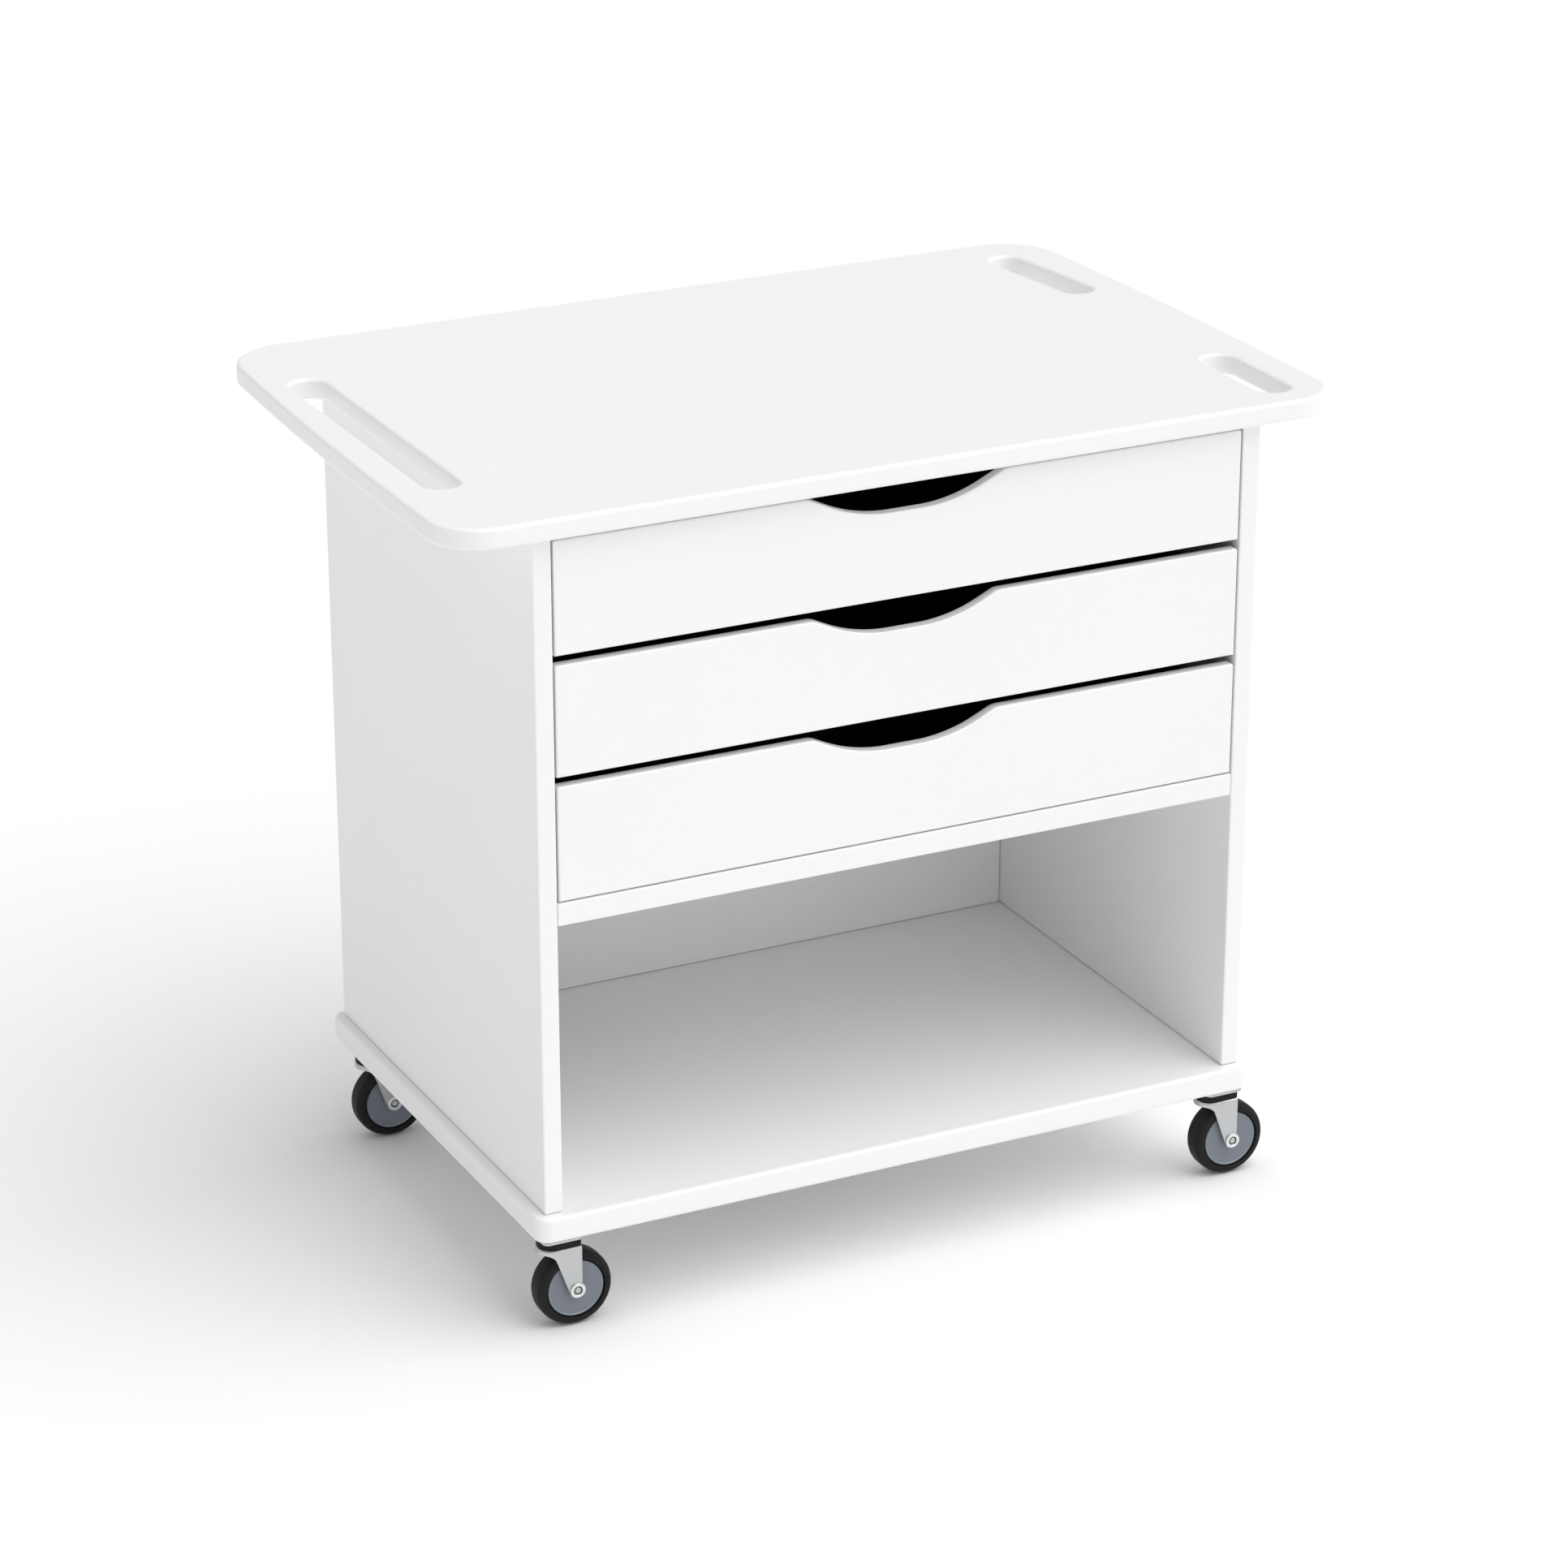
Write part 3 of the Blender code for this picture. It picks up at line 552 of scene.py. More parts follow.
class ToolChestCasters(bpy.types.PropertyGroup):
    """Sizes of the fine work on the casters."""

    tread_flat: in_metres("Tread flat", "Width of the tyre's level tread", 0.008)
    shoulder: in_metres("Shoulder", "How far the tyre's shoulder rounds down from the tread", 0.0055)
    groove: in_metres("Groove", "Width of the groove between the tyre and the hub", 0.0016)
    hub_recess: in_metres("Hub recess", "Depth of the hub's disc below its rim", 0.0009)
    hub_rim: in_metres("Hub rim", "Width of the hub's raised rim", 0.0013)
    hub_boss: in_metres("Hub boss", "Radius of the hub's boss", 0.009)
    ring_inner: in_metres("Axle ring bore", "Inner radius of the raised ring round the rivet", 0.0043)
    rivet: in_metres("Rivet radius", "Radius of the domed rivet in the axle's end", 0.0031)
    fork_sheet: in_metres("Fork sheet", "Sheet thickness of the pressed fork", 0.002)
    fork_bend: in_metres("Fork bend", "Inner radius of the fork's folded crown", 0.0008)
    fork_foot: in_metres("Fork foot", "Radius of the fork leg round the axle", 0.0078)
    fork_skirt: in_metres("Fork skirt", "Height of the skirt round the front of the fork's crown", 0.005)
    fork_neck: in_metres("Fork neck", "Radius where the skirt runs down into the leg", 0.011)
    fork_tail: in_metres("Fork tail", "From the axle to the leg's upright rear edge", 0.005)
    fork_edge: in_metres("Fork edge", "Rounding of the fork's cut edges", 0.0003)
    seal_inset: in_metres(
        "Seal inset", "From the crown's outline in to the dust cover that sits on it", 0.0006
    )
    boss: in_metres("Boss radius", "Radius of the plate's boss above the dust cover", 0.0145)
    kingpin: in_metres("Kingpin radius", "Radius of the kingpin that the fork swivels on", 0.005)
    kingpin_head: in_metres("Kingpin head radius", "Radius of the kingpin's head inside the fork", 0.008)
    plate_corner: in_metres("Plate corner", "Radius of the mounting plate's corners", 0.006)
    plate_thickness: in_metres("Plate thickness", "Sheet thickness of the mounting plate", 0.0025)
    plate_hole: in_metres("Plate hole radius", "Radius of the mounting plate's screw holes", 0.0026)
    plate_hole_edge: in_metres(
        "Plate hole edge", "From a screw hole's middle to the plate's edges", 0.0075
    )
    screw_radius: in_metres("Screw head radius", "Radius of the screw heads that hold the plate", 0.0042)
    screw_height: in_metres("Screw head height", "Height of the screw heads that hold the plate", 0.002)


class ToolChestStage(bpy.types.PropertyGroup):
    """The light and the camera."""

    sky: setting("Sky strength", "Strength of the even light from all round", 0.55)
    key: setting("Key strength", "Strength of the broad light from the upper right front", 1.65)
    key_from: setting(
        "Key direction",
        "Direction that the broad light comes from",
        (0.42, -0.37, 1.0), subtype="DIRECTION",
    )
    key_spread: in_radians("Key spread", "Angular width of the broad light", math.radians(60))
    fill: setting("Fill strength", "Strength of the low light from the front", 0.22)
    fill_from: setting(
        "Fill direction", "Direction that the low light comes from", (0.1, -1.0, 0.4), subtype="DIRECTION"
    )
    azimuth: in_radians(
        "Camera azimuth", "Turn of the camera about the chest from straight in front", math.radians(-26.444)
    )
    elevation: in_radians("Camera elevation", "Angle that the camera looks down at", math.radians(22.116))
    distance: in_metres("Camera distance", "From the camera to the point it looks at", 4.8270)
    target: setting(
        "Camera target", "The point that the camera looks at", (-0.0021, -0.034, 0.3930), subtype="XYZ"
    )
    lens: setting("Lens", "Focal length in millimetres on a 36 mm sensor", 116.03)


class ToolChestColours(bpy.types.PropertyGroup):
    """Colours of the finishes."""

    lacquer: as_colour("Lacquer", "White lacquer on the boards and drawer fronts", (0.92, 0.92, 0.923))
    # Painted shade: this black makes the closed drawers look dark inside.
    shade_black: as_colour("Melamine", "Black face of the drawer boxes", (0.012, 0.012, 0.013))
    zinc: as_colour("Zinc", "Zinc plate on the casters and runners", (0.56, 0.565, 0.575))
    hub: as_colour("Hub", "Moulded plastic of the wheel hubs", (0.135, 0.15, 0.175))
    rubber: as_colour("Rubber", "Rubber of the tyres", (0.007, 0.007, 0.0072))
    floor: as_colour("Floor", "Pale floor under the chest", (1.0, 1.0, 1.0))


GROUPS = {
    "tool_chest_sizes": ToolChestSizes,
    "tool_chest_casters": ToolChestCasters,
    "tool_chest_colours": ToolChestColours,
    "tool_chest_stage": ToolChestStage,
}


# ---------------------------------------------------------------- pieces


def slot_outline(centre, length, width, tilt=0.0):
    """A round-ended hand slot that runs along Y, turned about its centre."""
    turn = Matrix.Rotation(tilt, 2)
    half = (width / 2, length / 2)
    outline = rounded_rectangle((-half[0], -half[1]), half, width / 2, 16)
    return [tuple(Vector(centre) + turn @ Vector(point)) for point in outline]


def top_outline(low, high, sizes):
    """The top board in plan: its sides bow gently inwards towards the rounder rear corners."""
    rear, front, bow = sizes.top_rear_corner, sizes.top_front_corner, sizes.top_bow
    bow_x = high.x - bow
    rear_y = high.y - rear
    swing = math.asin((rear_y - sizes.top_bow_start) / (bow - rear))
    rear_x = bow_x + (bow - rear) * math.cos(swing)
    quarter = math.pi / 2
    right = arc((high.x - front, low.y + front), front, -quarter, 0.0, 24)
    right += arc((bow_x, sizes.top_bow_start), bow, 0.0, swing, 24)[:-1]
    right += arc((rear_x, rear_y), rear, swing, quarter, 24)
    return right + [(-x, y) for x, y in reversed(right)]


class CHEST_OT_tabletop(bpy.types.Operator):
    """Builds the wide top board with its three hand slots"""

    bl_idname = "chest.tabletop"
    bl_label = "Top board"

    def execute(self, context):
        sizes = context.scene.tool_chest_sizes
        low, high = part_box("tabletop")
        width = sizes.slot_width
        outlines = [top_outline(low, high, sizes)]
        rim, middle, length = sizes.left_slot
        outlines.append(slot_outline((low.x + rim + width / 2, middle), length, width))
        rim, setback, length = sizes.rear_slot
        centre = (high.x - rim - width / 2, high.y - setback - length / 2)
        outlines.append(slot_outline(centre, length, width, sizes.rear_slot_tilt))
        rim, setback, length = sizes.front_slot
        centre = (high.x - rim - width / 2, low.y + setback + length / 2)
        outlines.append(slot_outline(centre, length, width))
        mesh = slab(outlines, high.z - low.z, sizes.top_edge, 5)
        place = Matrix.Translation((0.0, 0.0, (low.z + high.z) / 2))
        new_piece("top_board", mesh, Z_AXIS, "cabinet", WHITE, ("tabletop",), place)
        return {"FINISHED"}


class CHEST_OT_base(bpy.types.Operator):
    """Builds the base board that carries the casters"""

    bl_idname = "chest.base"
    bl_label = "Base board"

    def execute(self, context):
        sizes = context.scene.tool_chest_sizes
        low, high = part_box("base_panel")
        outline = rounded_rectangle(low, high, sizes.base_corner, 10)
        mesh = slab([outline], high.z - low.z, sizes.base_edge, 5)
        place = Matrix.Translation((0.0, 0.0, (low.z + high.z) / 2))
        new_piece("base_board", mesh, Z_AXIS, "cabinet", WHITE, ("base_panel",), place)
        return {"FINISHED"}


class CHEST_OT_carcass(bpy.types.Operator):
    """Builds the side boards, the fixed shelf and the back board"""

    bl_idname = "chest.carcass"
    bl_label = "Side, shelf and back boards"

    def execute(self, context):
        radius = context.scene.tool_chest_sizes.board_edge
        boards = (
            ("side_board_left", "side_panel_left"),
            ("side_board_right", "side_panel_right"),
            ("shelf_board", "fixed_shelf"),
            ("back_board", "back_panel"),
        )
        for name, node in boards:
            low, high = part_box(node)
            mesh = box_mesh(low, high, radius)
            new_piece(name, mesh, EVERY_AXIS, "cabinet", WHITE, (node,))
        return {"FINISHED"}


def front_outline(width, height, scoop_depth, sizes):
    """A drawer front seen from the front, its origin at the middle of its lower edge."""
    half = width / 2
    corner, fillet, slope = sizes.front_corner, sizes.scoop_fillet, sizes.scoop_slope
    both_radii = sizes.scoop_bowl + fillet
    straight_drop = scoop_depth - both_radii * (1 - math.cos(slope))
    fillet_x = sizes.scoop_flat / 2 + both_radii * math.sin(slope)
    fillet_x += straight_drop / math.tan(slope)
    bowl = (sizes.scoop_flat / 2, height - scoop_depth + sizes.scoop_bowl)
    down = -math.pi / 2
    up = math.pi / 2
    right = [(half, 0.0)]
    right += arc((half - corner, height - corner), corner, 0.0, up, 10)
    right += arc((fillet_x, height - fillet), fillet, up, up + slope, 10)
    right += arc(bowl, sizes.scoop_bowl, down + slope, down, 24)
    return right + [(-x, z) for x, z in reversed(right)]


class CHEST_OT_fronts(bpy.types.Operator):
    """Builds the three scooped drawer fronts"""

    bl_idname = "chest.fronts"
    bl_label = "Drawer fronts"

    def execute(self, context):
        sizes = context.scene.tool_chest_sizes
        for level, scoop_depth in zip(LEVELS, sizes.scoop_depths):
            node = f"drawer_{level}_front"
            low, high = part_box(node)
            outline = front_outline(high.x - low.x, high.z - low.z, scoop_depth, sizes)
            mesh = slab([outline], high.y - low.y, sizes.front_edge, 4)
            place = upright(0.0, (low.y + high.y) / 2, low.z)
            name = f"{level}_drawer_front"
            new_piece(name, mesh, Z_AXIS, f"drawer_{level}", WHITE, (node,), place)
        return {"FINISHED"}


class CHEST_OT_drawer_boxes(bpy.types.Operator):
    """Builds the boards of the drawer boxes, black to paint the shade inside the closed drawers"""

    bl_idname = "chest.drawer_boxes"
    bl_label = "Drawer boxes"

    def execute(self, context):
        sizes = context.scene.tool_chest_sizes
        for level in LEVELS:
            for part in ("side_left", "side_right", "back", "bottom"):
                node = f"drawer_{level}_{part}"
                low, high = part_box(node)
                mesh = box_mesh(low, high, sizes.box_edge, 3)
                name = f"{level}_box_{part}"
                new_piece(name, mesh, EVERY_AXIS, f"drawer_{level}", SHADE_BLACK, (node,))
        return {"FINISHED"}


def rail_sections(height, depth, sizes):
    """Sheet centre lines of the three runner members: distance from the wall, and height."""
    sheet = sizes.rail_sheet
    half = sheet / 2
    outer_top = height / 2 - half
    middle_top = outer_top - sizes.rail_lip - sheet - half / 2
    inner_top = middle_top - sizes.ball_gap - sheet
    lip_x = depth - 2 * sheet
    middle_x = sheet + sizes.ball_gap
    inner_x = middle_x + 2 * sheet
    lip_z = outer_top - sizes.rail_lip
    upper_halves = {
        "cabinet_rail": [(lip_x, lip_z), (lip_x, outer_top), (half, outer_top)],
        "middle_rail": [(lip_x, middle_top), (middle_x, middle_top)],
        "drawer_rail": [(inner_x, inner_top), (depth - half, inner_top)],
    }
    return {
        name: upper + [(x, -z) for x, z in reversed(upper)] for name, upper in upper_halves.items()
    }


def folded(section, radius, sheet):
    """The outline of a folded sheet whose centre line is the section, with rounded folds."""
    line = [Vector(section[0])]
    for before, fold, after in zip(section, section[1:], section[2:]):
        before, fold, after = Vector(before), Vector(fold), Vector(after)
        inward = (before - fold).normalized() * radius
        outward = (after - fold).normalized() * radius
        for step in range(5):
            angle = step / 4 * math.pi / 2
            line.append(fold + inward * (1 - math.sin(angle)) + outward * (1 - math.cos(angle)))
    line.append(Vector(section[-1]))
    sides = ([], [])
    for index, point in enumerate(line):
        along = (line[min(index + 1, len(line) - 1)] - line[max(index - 1, 0)]).normalized()
        across = Vector((-along.y, along.x)) * sheet / 2
        sides[0].append(tuple(point + across))
        sides[1].append(tuple(point - across))
    return sides[0] + sides[1][::-1]


def ball_row(x, z, ends, radius, count):
    """A row of balls along Y between two ends, above and below the runner's middle."""
    shape = bmesh.new()
    for index in range(count):
        y = ends[0] + (ends[1] - ends[0]) * index / (count - 1)
        for side in (-1, 1):
            place = Matrix.Translation((x, y, side * z))
            bmesh.ops.create_icosphere(shape, subdivisions=2, radius=radius, matrix=place)
    return mesh_of(shape, "balls")


class CHEST_OT_runners(bpy.types.Operator):
    """Builds the folded members of the drawer runners and their balls"""

    bl_idname = "chest.runners"
    bl_label = "Drawer runners"

    def execute(self, context):
        sizes = context.scene.tool_chest_sizes
        sheet = sizes.rail_sheet
        for level in LEVELS:
            bodies = {
                "cabinet_rail": "cabinet",
                "middle_rail": f"runners_{level}",
                "drawer_rail": f"drawer_{level}",
            }
            for side, sign in SIDES:
                start = f"drawer_{level}_{side}"
                low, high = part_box(f"{start}_cabinet_rail")
                wall = high.x if sign > 0 else low.x
                inner_low, inner_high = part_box(f"{start}_drawer_rail")
                depth = sign * (wall - (inner_low.x if sign > 0 else inner_high.x))
                sections = rail_sections(high.z - low.z, depth, sizes)
                middle = Vector((wall, (low.y + high.y) / 2, (low.z + high.z) / 2))
                place = upright(*middle)
                for member, section in sections.items():
                    outline = folded(section, sheet, sheet)
                    outline = [(-sign * x, z) for x, z in outline]
                    mesh = slab([outline], high.y - low.y, sheet / 8, 1)
                    name, node = f"{level}_{side}_{member}", f"{start}_{member}"
                    new_piece(name, mesh, EVERY_AXIS, bodies[member], RAIL_ZINC, (node,), place)
                race = sections["middle_rail"][0][1] + sheet / 2 + sizes.ball_radius * 1.1
                across = -sign * (sheet + sizes.ball_gap + sizes.ball_radius)
                reach = (high.y - low.y) / 2
                ends = (-reach * 0.96, reach * 0.2)
                balls = ball_row(across, race, ends, sizes.ball_radius, BALLS_IN_ROW)
                name, body = f"{level}_{side}_balls", bodies["middle_rail"]
                place = Matrix.Translation(middle)
                new_piece(name, balls, EVERY_AXIS, body, RAIL_ZINC, place=place)
        return {"FINISHED"}


def mirrored(half):
    """A closed (radius, height) loop from its upper half, given from the bore outwards."""
    return half + [(radius, -height) for radius, height in reversed(half)]


def tyre_profile(inner, outer, half_width, casters):
    """Bead, wall, rounded shoulder and tread, from the bore outwards."""
    flat = casters.tread_flat / 2
    ease = casters.groove / 4
    floor = half_width - 2 * casters.groove
    profile = [(inner - casters.groove, floor), (inner, floor), (inner, half_width - ease)]
    profile += [(inner + ease, half_width), (outer - casters.shoulder, half_width)]
    centre = outer - casters.shoulder
    for step in range(1, 9):
        angle = step / 8 * math.pi / 2
        radius = centre + casters.shoulder * math.sin(angle)
        profile.append((radius, flat + (half_width - flat) * math.cos(angle)))
    return profile


def hub_profile(bore, outer, half_width, boss_half_width, casters):
    """Boss, recessed disc and raised rim, from the bore outwards."""
    boss, rim = casters.hub_boss, outer - casters.hub_rim
    face = half_width - casters.hub_recess
    ease = casters.hub_recess / 3
    return [
        (bore, boss_half_width - ease),
        (bore + ease, boss_half_width),
        (boss - ease, boss_half_width),
        (boss, boss_half_width - ease),
        (boss + ease, face + ease),
        (boss + 2 * ease, face),
        (rim - 2 * ease, face),
        (rim - ease, face + ease),
        (rim, half_width - ease),
        (rim + ease, half_width),
        (outer - ease, half_width),
        (outer, half_width - ease),
    ]


class CHEST_OT_wheels(bpy.types.Operator):
    """Builds the tyres and the moulded hubs of the casters"""

    bl_idname = "chest.wheels"
    bl_label = "Wheels"

    def execute(self, context):
        casters = context.scene.tool_chest_casters
        for corner in CORNERS:
            low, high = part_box(f"caster_{corner}_tyre")
            hub_low, hub_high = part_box(f"caster_{corner}_hub")
            centre = (hub_low + hub_high) / 2
            outer = (high.z - low.z) / 2
            half_width = (high.y - low.y) / 2
            boss_half_width = (hub_high.y - hub_low.y) / 2
            hub_outer = (hub_high.z - hub_low.z) / 2
            disc = half_width - casters.hub_recess
            rim = hub_outer - casters.groove
            tyre = tyre_profile(hub_outer, outer, half_width, casters)
            hub = hub_profile(casters.ring_inner, rim, disc, boss_half_width, casters)
            body, place = f"wheel_{corner}", upright(*centre)
            for part, profile, look in (("tyre", tyre, RUBBER), ("hub", hub, PLASTIC)):
                mesh = turned(mirrored(profile), RING_STEPS, True)
                name, node = f"{corner}_{part}", f"caster_{corner}_{part}"
                new_piece(name, mesh, Z_AXIS, body, look, (node,), place)
        return {"FINISHED"}


def dome(radius, low, high):
    """A half-round rise from the rim at low to the crown at high, from the crown outwards."""
    steps = 6
    quarter = math.pi / 2 / steps
    return [
        (radius * math.sin(step * quarter), low + (high - low) * math.cos(step * quarter) ** 0.6)
        for step in range(steps + 1)
    ]


def axle_profiles(bore, seat, face, head, casters):
    """Name, look and profile of the axle's parts, and whether each of its ends has its own."""
    ease = (face - seat) / 4
    collar = [(bore, seat), (bore, face - ease), (bore + ease, face), (head - 2 * ease, face)]
    collar += [(head - ease / 2, face - ease), (head, seat)]
    shaft = [(0.0, seat + ease), (bore - WELD, seat + ease)]
    rivet = dome(casters.rivet, seat + ease, face)
    return (
        ("collar", BRIGHT_ZINC, collar, True),
        # The shaft's ends floor the wells round the rivets; its darkened steel is painted shade.
        ("shaft", SHADED_WELL_STEEL, shaft, False),
        ("rivet", ZINC, rivet, False),
    )


def fork_outline(crown_top, axle, outer_half, casters):
    """A fork leg seen from the side, with its origin on the swivel axis at the crown's underside."""
    top = crown_top + casters.fork_sheet
    skirt = crown_top - casters.fork_skirt
    neck = casters.fork_neck
    nose = -outer_half - casters.fork_sheet
    lift = math.asin(casters.fork_tail / casters.fork_foot)
    outline = [(nose, top), (nose, skirt)]
    outline += arc((-neck, skirt - neck), neck, math.pi / 2, math.radians(30), 12)
    start, end = math.radians(205), 5 * math.pi / 2 - lift
    outline += arc(axle, casters.fork_foot, start, end, 24)
    outline.append((axle[0] + casters.fork_tail, top))
    return outline


def helper(name, mesh, place):
    item = linked(name, mesh)
    item.matrix_world = place
    return item


def cut_with(item, cutter, operation):
    modifier = item.modifiers.new("cut", "BOOLEAN")
    modifier.operation = operation
    modifier.object = cutter
    modifier.solver = "EXACT"


def crown_plan(length, radius):
    """Seen from above: round about the swivel axis, then straight back to the length."""
    bend = arc((0.0, 0.0), radius, math.pi / 2, 3 * math.pi / 2, 32)
    return [(length, -radius), (length, radius), *bend]


def fork_mesh(outer, axle, crown_top, bore, casters):
    """A pressed sheet cup, trimmed to the leg outline and pierced for its kingpin and axle."""
    sheet = casters.fork_sheet
    eye = casters.kingpin * 1.12
    length = axle[0] + casters.fork_foot + 2 * sheet
    plan = crown_plan(length, outer)
    depth = 2 * (crown_top - axle[1] + casters.fork_foot + sheet)
    cup = slab([plan], depth, sheet + casters.fork_bend, 6)
    shape = bmesh.new()
    shape.from_mesh(cup)
    lower = [face for face in shape.faces if face.calc_center_median().z < -depth / 4]
    bmesh.ops.delete(shape, geom=lower, context="FACES")
    shape.to_mesh(cup)
    shape.free()
    place = Matrix.Translation((0.0, 0.0, crown_top - depth / 2))
    item = helper("fork_sheet", cup, place)
    shell = item.modifiers.new("sheet", "SOLIDIFY")
    shell.thickness = sheet
    shell.offset = -1.0
    shell.use_even_offset = True
    side = slab([fork_outline(crown_top, axle, outer, casters)], 3 * outer, 0.0, 1)
    hole = slab([circle(axle, bore, SMALL_STEPS)], 3 * outer, 0.0, 1)
    top_hole = slab([circle((0.0, 0.0), eye, SMALL_STEPS)], 4 * sheet, 0.0, 1)
    cutters = (
        helper("fork_side", side, upright()),
        helper("fork_bore", hole, upright()),
        helper("fork_eye", top_hole, Matrix.Translation((0.0, 0.0, crown_top))),
    )
    for cutter, operation in zip(cutters, ("INTERSECT", "DIFFERENCE", "DIFFERENCE")):
        cut_with(item, cutter, operation)
    rounding = item.modifiers.new("eased", "BEVEL")
    rounding.width = casters.fork_edge
    rounding.segments = 2
    rounding.limit_method = "ANGLE"
    rounding.angle_limit = math.radians(50)
    mesh = worked_out(item)
    mesh.transform(place)
    for cutter in cutters:
        bpy.data.objects.remove(cutter)
    return mesh


class CHEST_OT_forks(bpy.types.Operator):
    """Builds the pressed forks of the casters and their riveted axles"""

    bl_idname = "chest.forks"
    bl_label = "Forks and axles"

    def execute(self, context):
        casters = context.scene.tool_chest_casters
        for corner in CORNERS:
            low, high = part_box(f"caster_{corner}_fork")
            plate_low, plate_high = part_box(f"caster_{corner}_plate")
            hub_low, hub_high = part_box(f"caster_{corner}_hub")
            axle_low, axle_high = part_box(f"caster_{corner}_axle")
            pivot = (plate_low + plate_high) / 2
            centre = (hub_low + hub_high) / 2
            outer = (high.y - low.y) / 2
            axle = (centre.x - pivot.x, centre.z)
            body = f"caster_{corner}"
            bore = casters.ring_inner
            mesh = fork_mesh(outer, axle, high.z, bore, casters)
            place = Matrix.Translation((pivot.x, pivot.y, 0.0))
            node = f"caster_{corner}_fork"
            new_piece(f"{corner}_fork", mesh, EVERY_AXIS, body, ZINC, (node,), place)
            face = (axle_high.y - axle_low.y) / 2
            head = (axle_high.z - axle_low.z) / 2
            seat = outer + AXLE_SPACE
            both_ways = (Matrix.Identity(4), Matrix.Rotation(math.pi, 4, "X"))
            place = upright(*centre)
            for part, look, half, pair in axle_profiles(bore, seat, face, head, casters):
                if pair:
                    pin = joined((turned(half, RING_STEPS, True), way) for way in both_ways)
                else:
                    pin = turned(mirrored(half), SMALL_STEPS)
                nodes = (f"caster_{corner}_axle",) if pair else ()
                new_piece(f"{corner}_axle_{part}", pin, Z_AXIS, body, look, nodes, place)
        return {"FINISHED"}


def screw_head(radius, height):
    """A low domed head, its seat at z = 0 and its crown below, with a dimpled drive."""
    profile = [(0.0, 0.0), (radius, 0.0), (radius, -height * 0.3)]
    for step in range(1, 6):
        angle = step / 5 * math.pi / 2
        crown = -height * (0.3 + 0.7 * math.sin(angle))
        profile.append((radius * (0.45 + 0.55 * math.cos(angle)), crown))
    profile += [(radius * 0.36, -height * 0.9), (radius * 0.3, -height * 0.4)]
    profile.append((0.0, -height * 0.35))
    return turned(profile, 24)


def joined(meshes_at):
    """One mesh of several, each at its place."""
    shape = bmesh.new()
    for mesh, place in meshes_at:
        mesh.transform(place)
        shape.from_mesh(mesh)
        bpy.data.meshes.remove(mesh)
    return mesh_of(shape, "joined")


class CHEST_OT_plates(bpy.types.Operator):
    """Builds the casters' mounting plates, their screws and bosses, and the seals and kingpins"""

    bl_idname = "chest.plates"
    bl_label = "Caster plates"

    def execute(self, context):
        casters = context.scene.tool_chest_casters
        for corner in CORNERS:
            node = f"caster_{corner}_plate"
            low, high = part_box(node)
            fork_low, fork_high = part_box(f"caster_{corner}_fork")
            axle_x = sum(end.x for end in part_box(f"caster_{corner}_axle")) / 2
            middle = (low + high) / 2
            tail = axle_x - middle.x + casters.fork_tail - casters.seal_inset
            half_crown = (fork_high.y - fork_low.y) / 2
            bottom = high.z - casters.plate_thickness
            half = ((high.x - low.x) / 2, (high.y - low.y) / 2)
            reach = [size - casters.plate_hole_edge for size in half]
            spots = [(sx * reach[0], sy * reach[1]) for sx in (-1, 1) for sy in (-1, 1)]
            outline = rounded_rectangle((-half[0], -half[1]), half, casters.plate_corner, 8)
            holes = [circle(spot, casters.plate_hole, 24) for spot in spots]
            mesh = slab([outline, *holes], casters.plate_thickness, PLATE_EASE, 2)
            place = Matrix.Translation((middle.x, middle.y, (bottom + high.z) / 2))
            new_piece(f"{corner}_plate", mesh, Z_AXIS, "cabinet", ZINC, (node,), place)
            heads = joined(
                (
                    screw_head(casters.screw_radius, casters.screw_height),
                    Matrix.Translation((middle.x + x, middle.y + y, bottom)),
                )
                for x, y in spots
            )
            new_piece(f"{corner}_screws", heads, Z_AXIS, "cabinet", ZINC)
            seal_low = fork_high.z + SEAL_SPACE
            seal_high = bottom - casters.screw_height - HEAD_SPACE
            outline = crown_plan(tail, half_crown - casters.seal_inset)
            seal = slab([outline], seal_high - seal_low, casters.seal_inset, 2)
            place = Matrix.Translation((middle.x, middle.y, (seal_low + seal_high) / 2))
            body = f"caster_{corner}"
            new_piece(f"{corner}_seal", seal, Z_AXIS, body, RUBBER, place=place)
            place = Matrix.Translation((middle.x, middle.y, 0.0))
            foot = seal_high + HEAD_SPACE
            boss = [(0.0, bottom), (casters.boss, bottom), (casters.boss, foot), (0.0, foot)]
            foot = fork_high.z - casters.fork_sheet - HEAD_SPACE
            pin, head = casters.kingpin, casters.kingpin_head
            kingpin = [(0.0, seal_low), (pin, seal_low), (pin, foot), (head, foot)]
            kingpin += [(head, (foot + low.z) / 2), (head * 0.8, low.z + AXLE_SPACE)]
            kingpin += [(head * 0.3, low.z), (0.0, low.z)]
            pins = (("boss", boss, RING_STEPS), ("kingpin", kingpin, SMALL_STEPS))
            for part, profile, steps in pins:
                mesh = turned(profile, steps)
                new_piece(f"{corner}_{part}", mesh, Z_AXIS, "cabinet", ZINC, place=place)
        return {"FINISHED"}


# ---------------------------------------------------------------- stage


def aim(item, target):
    direction = Vector(target) - item.location
    item.rotation_euler = direction.to_track_quat("-Z", "Y").to_euler()


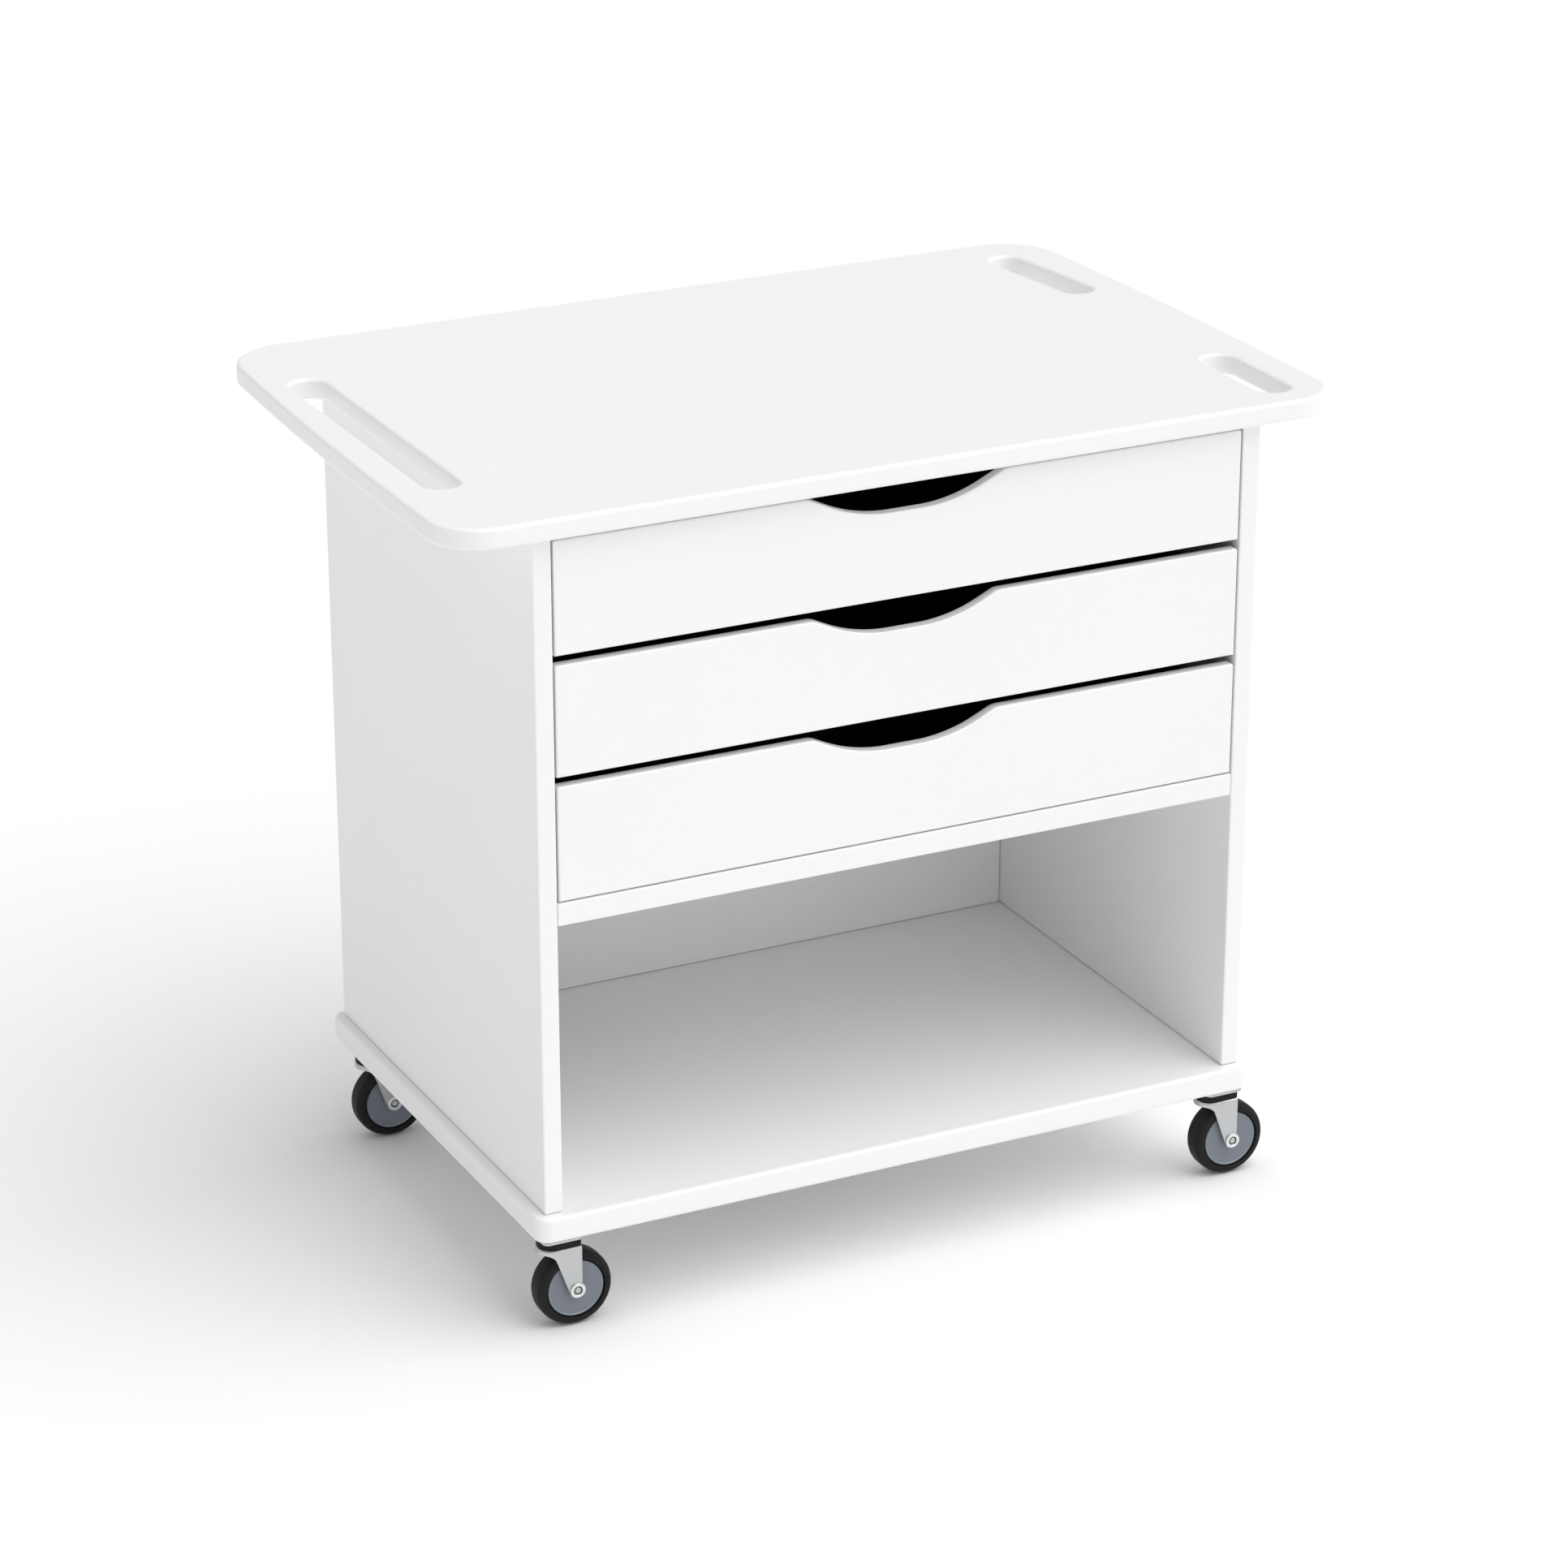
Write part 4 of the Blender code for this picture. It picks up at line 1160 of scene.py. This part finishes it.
class CHEST_OT_stage(bpy.types.Operator):
    """Lays the pale floor and sets the soft light and the camera"""

    bl_idname = "chest.stage"
    bl_label = "Stage"

    def execute(self, context):
        scene = context.scene
        shape = bmesh.new()
        bmesh.ops.create_grid(shape, x_segments=8, y_segments=8, size=40.0)
        mesh = mesh_of(shape, "floor")
        mesh.materials.append(finish_of("floor_paint"))
        floor = linked("floor", mesh)
        floor.location.z = -0.0005

        stage = scene.tool_chest_stage
        world = bpy.data.worlds.new("soft_studio")
        world.use_nodes = True
        background = world.node_tree.nodes["Background"]
        background.inputs["Color"].default_value = (1.0, 1.0, 1.0, 1.0)
        background.inputs["Strength"].default_value = stage.sky
        scene.world = world
        lights = (("key", stage.key, stage.key_from), ("fill", stage.fill, stage.fill_from))
        for name, strength, direction in lights:
            data = bpy.data.lights.new(name, "SUN")
            data.energy = strength
            data.angle = stage.key_spread
            light = linked(name, data)
            light.location = Vector(direction).normalized() * 6.0
            aim(light, (0.0, 0.0, 0.0))

        azimuth, elevation = stage.azimuth, stage.elevation
        back = Vector(
            (
                math.sin(azimuth) * math.cos(elevation),
                -math.cos(azimuth) * math.cos(elevation),
                math.sin(elevation),
            )
        )
        data = bpy.data.cameras.new("camera")
        data.lens = stage.lens
        data.sensor_width = 36.0
        camera = linked("camera", data)
        camera.location = Vector(stage.target) + back * stage.distance
        aim(camera, stage.target)
        scene.camera = camera
        scene.view_settings.view_transform = "Standard"
        return {"FINISHED"}


OPERATORS = (
    CHEST_OT_tabletop,
    CHEST_OT_base,
    CHEST_OT_carcass,
    CHEST_OT_fronts,
    CHEST_OT_drawer_boxes,
    CHEST_OT_runners,
    CHEST_OT_wheels,
    CHEST_OT_forks,
    CHEST_OT_plates,
    CHEST_OT_stage,
)


class CHEST_PT_sidebar(bpy.types.Panel):
    """Lists the chest's settings and the steps that build it"""

    bl_idname = "CHEST_PT_sidebar"
    bl_label = "Tool Chest"
    bl_space_type = "VIEW_3D"
    bl_region_type = "UI"
    bl_category = "Tool Chest"

    def draw(self, context):
        for key, group in GROUPS.items():
            column = self.layout.column(align=True)
            for name in group.__annotations__:
                column.prop(getattr(context.scene, key), name)
        column = self.layout.column(align=True)
        for operator in OPERATORS:
            column.operator(operator.bl_idname)


CLASSES = (*GROUPS.values(), *OPERATORS, CHEST_PT_sidebar)


def register():
    for item in CLASSES:
        bpy.utils.register_class(item)
    for name, group in GROUPS.items():
        setattr(bpy.types.Scene, name, bpy.props.PointerProperty(type=group))


def unregister():
    for name in GROUPS:
        delattr(bpy.types.Scene, name)
    for item in reversed(CLASSES):
        bpy.utils.unregister_class(item)


def main():
    register()
    for operator in OPERATORS:
        module, name = operator.bl_idname.split(".")
        getattr(getattr(bpy.ops, module), name)()


if __name__ == "__main__":
    main()
